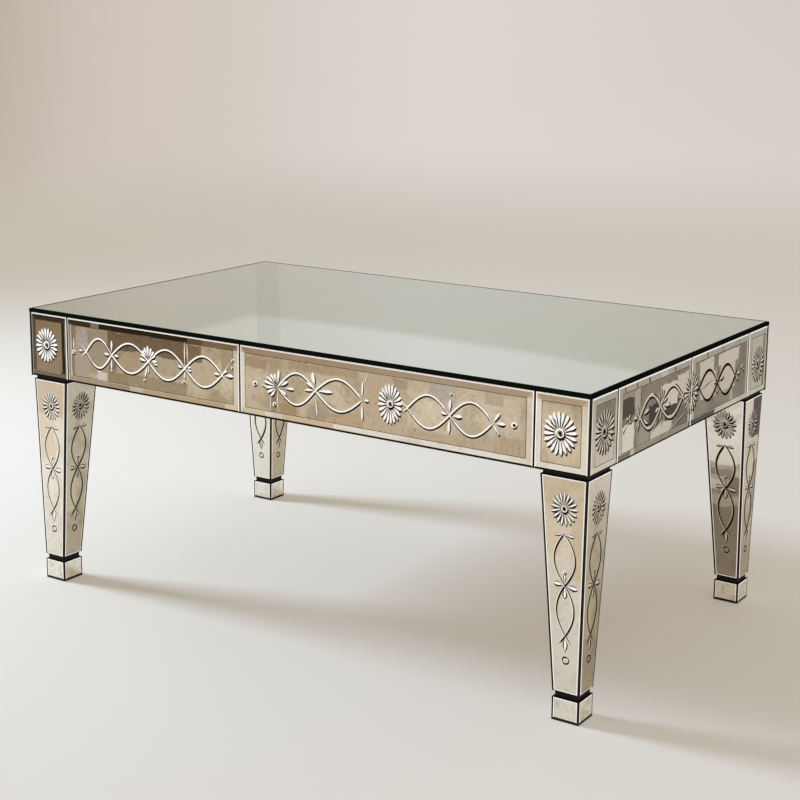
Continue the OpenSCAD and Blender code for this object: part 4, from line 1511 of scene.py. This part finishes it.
def paperMaterial():
    material, tree, shader = newMaterial("studioPaper", studio["paper"], roughness=0.9, specular=0.1)
    place = objectCoords(tree)
    across = operate(tree, "DOT_PRODUCT", place, studio["rightwards"], vector=True, out=1)
    height = apart(tree, place)["Z"]
    share = operate(tree, "MULTIPLY_ADD", across, 0.5 / studio["reach"], 0.5)
    tones = [ramp(tree, share, [(0.5 + x / studio["reach"] / 2, tone) for x, tone in studio[name]], True)
             for name in ("floor", "wall")]
    climb = addNode(tree, "ShaderNodeMapRange", {
        "From Min": studio["turn"][0], "From Max": studio["turn"][1]}, interpolation_type="SMOOTHSTEP")
    link(tree, height, climb.inputs["Value"])
    tone = mix(tree, "MIX", climb.outputs["Result"], *tones)
    # Painted brighter light: the wall glows more above the higher of the two lines
    lines = [operate(tree, "MULTIPLY_ADD", across, slope, start) for slope, start in studio["liftLines"]]
    above = operate(tree, "SUBTRACT", height, operate(tree, "MAXIMUM", *lines))
    lifted = addNode(tree, "ShaderNodeMapRange", {
        "From Min": studio["liftEdge"][0], "From Max": studio["liftEdge"][1]})
    link(tree, above, lifted.inputs["Value"])
    tone = mix(tree, "MULTIPLY", lifted.outputs["Result"], tone, (*studio["lift"], 1))
    # A painted dim strip on the wall, which the top reflects as a darker strip
    strip = addNode(tree, "ShaderNodeGroup", node_tree=softPatch)
    link(tree, together(tree, across, height), strip.inputs["Place"])
    for name in ("Low", "High"):
        strip.inputs[name].default_value = studio[f"shelf{name}"]
    strip.inputs["Sharpness"].default_value = studio["paintedDimStripEdge"]
    tone = mix(tree, "MULTIPLY", strip.outputs["Mask"], tone, (*grey(studio["shelf"]), 1))
    # The paper glows with these tones as a fill light; the glow paints light and shade across floor and wall
    link(tree, tone, shader.inputs["Emission Color"])
    shader.inputs["Emission Strength"].default_value = 1.0
    return material


# A round paper floor that sweeps up into a wall
def studioBowl(steps=12, count=96):
    flat = studio["radius"] - studio["sweep"]
    profile = [(0.0, 0.0), (flat, 0.0)]
    for k in range(1, steps + 1):
        t = math.pi / 2 * k / steps
        profile.append((flat + studio["sweep"] * math.sin(t), studio["sweep"] * (1 - math.cos(t))))
    profile.append((studio["radius"], studio["height"]))
    verts = [(0, 0, 0)]
    faces = []
    for r, z in profile[1:]:
        for k in range(count):
            verts.append((r * math.cos(math.tau * k / count), r * math.sin(math.tau * k / count), z))
    for k in range(count):
        after = (k + 1) % count
        faces.append((0, 1 + k, 1 + after))
        for row in range(len(profile) - 2):
            a, b = 1 + row * count, 1 + (row + 1) * count
            faces.append((a + k, b + k, b + after, a + after))
    mesh = bpy.data.meshes.new("studio")
    mesh.from_pydata(verts, [], faces)
    mesh.polygons.foreach_set("use_smooth", [True] * len(faces))
    mesh.materials.append(paperMaterial())
    bowl = bpy.data.objects.new("studio", mesh)
    scene.collection.objects.link(bowl)


def hangLight(look):
    lamp = bpy.data.lights.new("keyLight", "AREA")
    lamp.shape = "SQUARE"
    lamp.size = look["size"]
    lamp.energy = look["power"]
    lamp.spread = math.radians(look["spread"])
    lamp.color = look["tone"]
    item = bpy.data.objects.new("keyLight", lamp)
    item.location = look["place"]
    item.rotation_euler = (Vector(look["aim"]) - Vector(look["place"])).to_track_quat("-Z", "Y").to_euler()
    scene.collection.objects.link(item)


studioBowl()
hangLight(keyLight)

world = bpy.data.worlds.new("world")
world.use_nodes = True
sky = world.node_tree.nodes["Background"]
sky.inputs["Color"].default_value = (*studio["sky"], 1)
sky.inputs["Strength"].default_value = studio["skyStrength"]
scene.world = world
scene.view_settings.view_transform = "Standard"

# Where the camera stands: ahead of the near corner, a little above the top
lens = {"place": (1.387, -2.062, 0.9245), "yaw": 0.589, "pitch": 0.192, "roll": 0.009, "length": 72.4,
        "shift": -0.1}
camera = bpy.data.objects.new("camera", bpy.data.cameras.new("camera"))
scene.collection.objects.link(camera)
forward = Vector((-math.sin(lens["yaw"]) * math.cos(lens["pitch"]),
                  math.cos(lens["yaw"]) * math.cos(lens["pitch"]), -math.sin(lens["pitch"])))
camera.location = lens["place"]
camera.rotation_euler = (forward.to_track_quat("-Z", "Y").to_matrix()
                         @ Matrix.Rotation(lens["roll"], 3, "Z")).to_euler()
camera.data.sensor_width = 36
camera.data.lens = lens["length"]
camera.data.shift_y = lens["shift"]
camera.data.clip_end = 50
scene.camera = camera
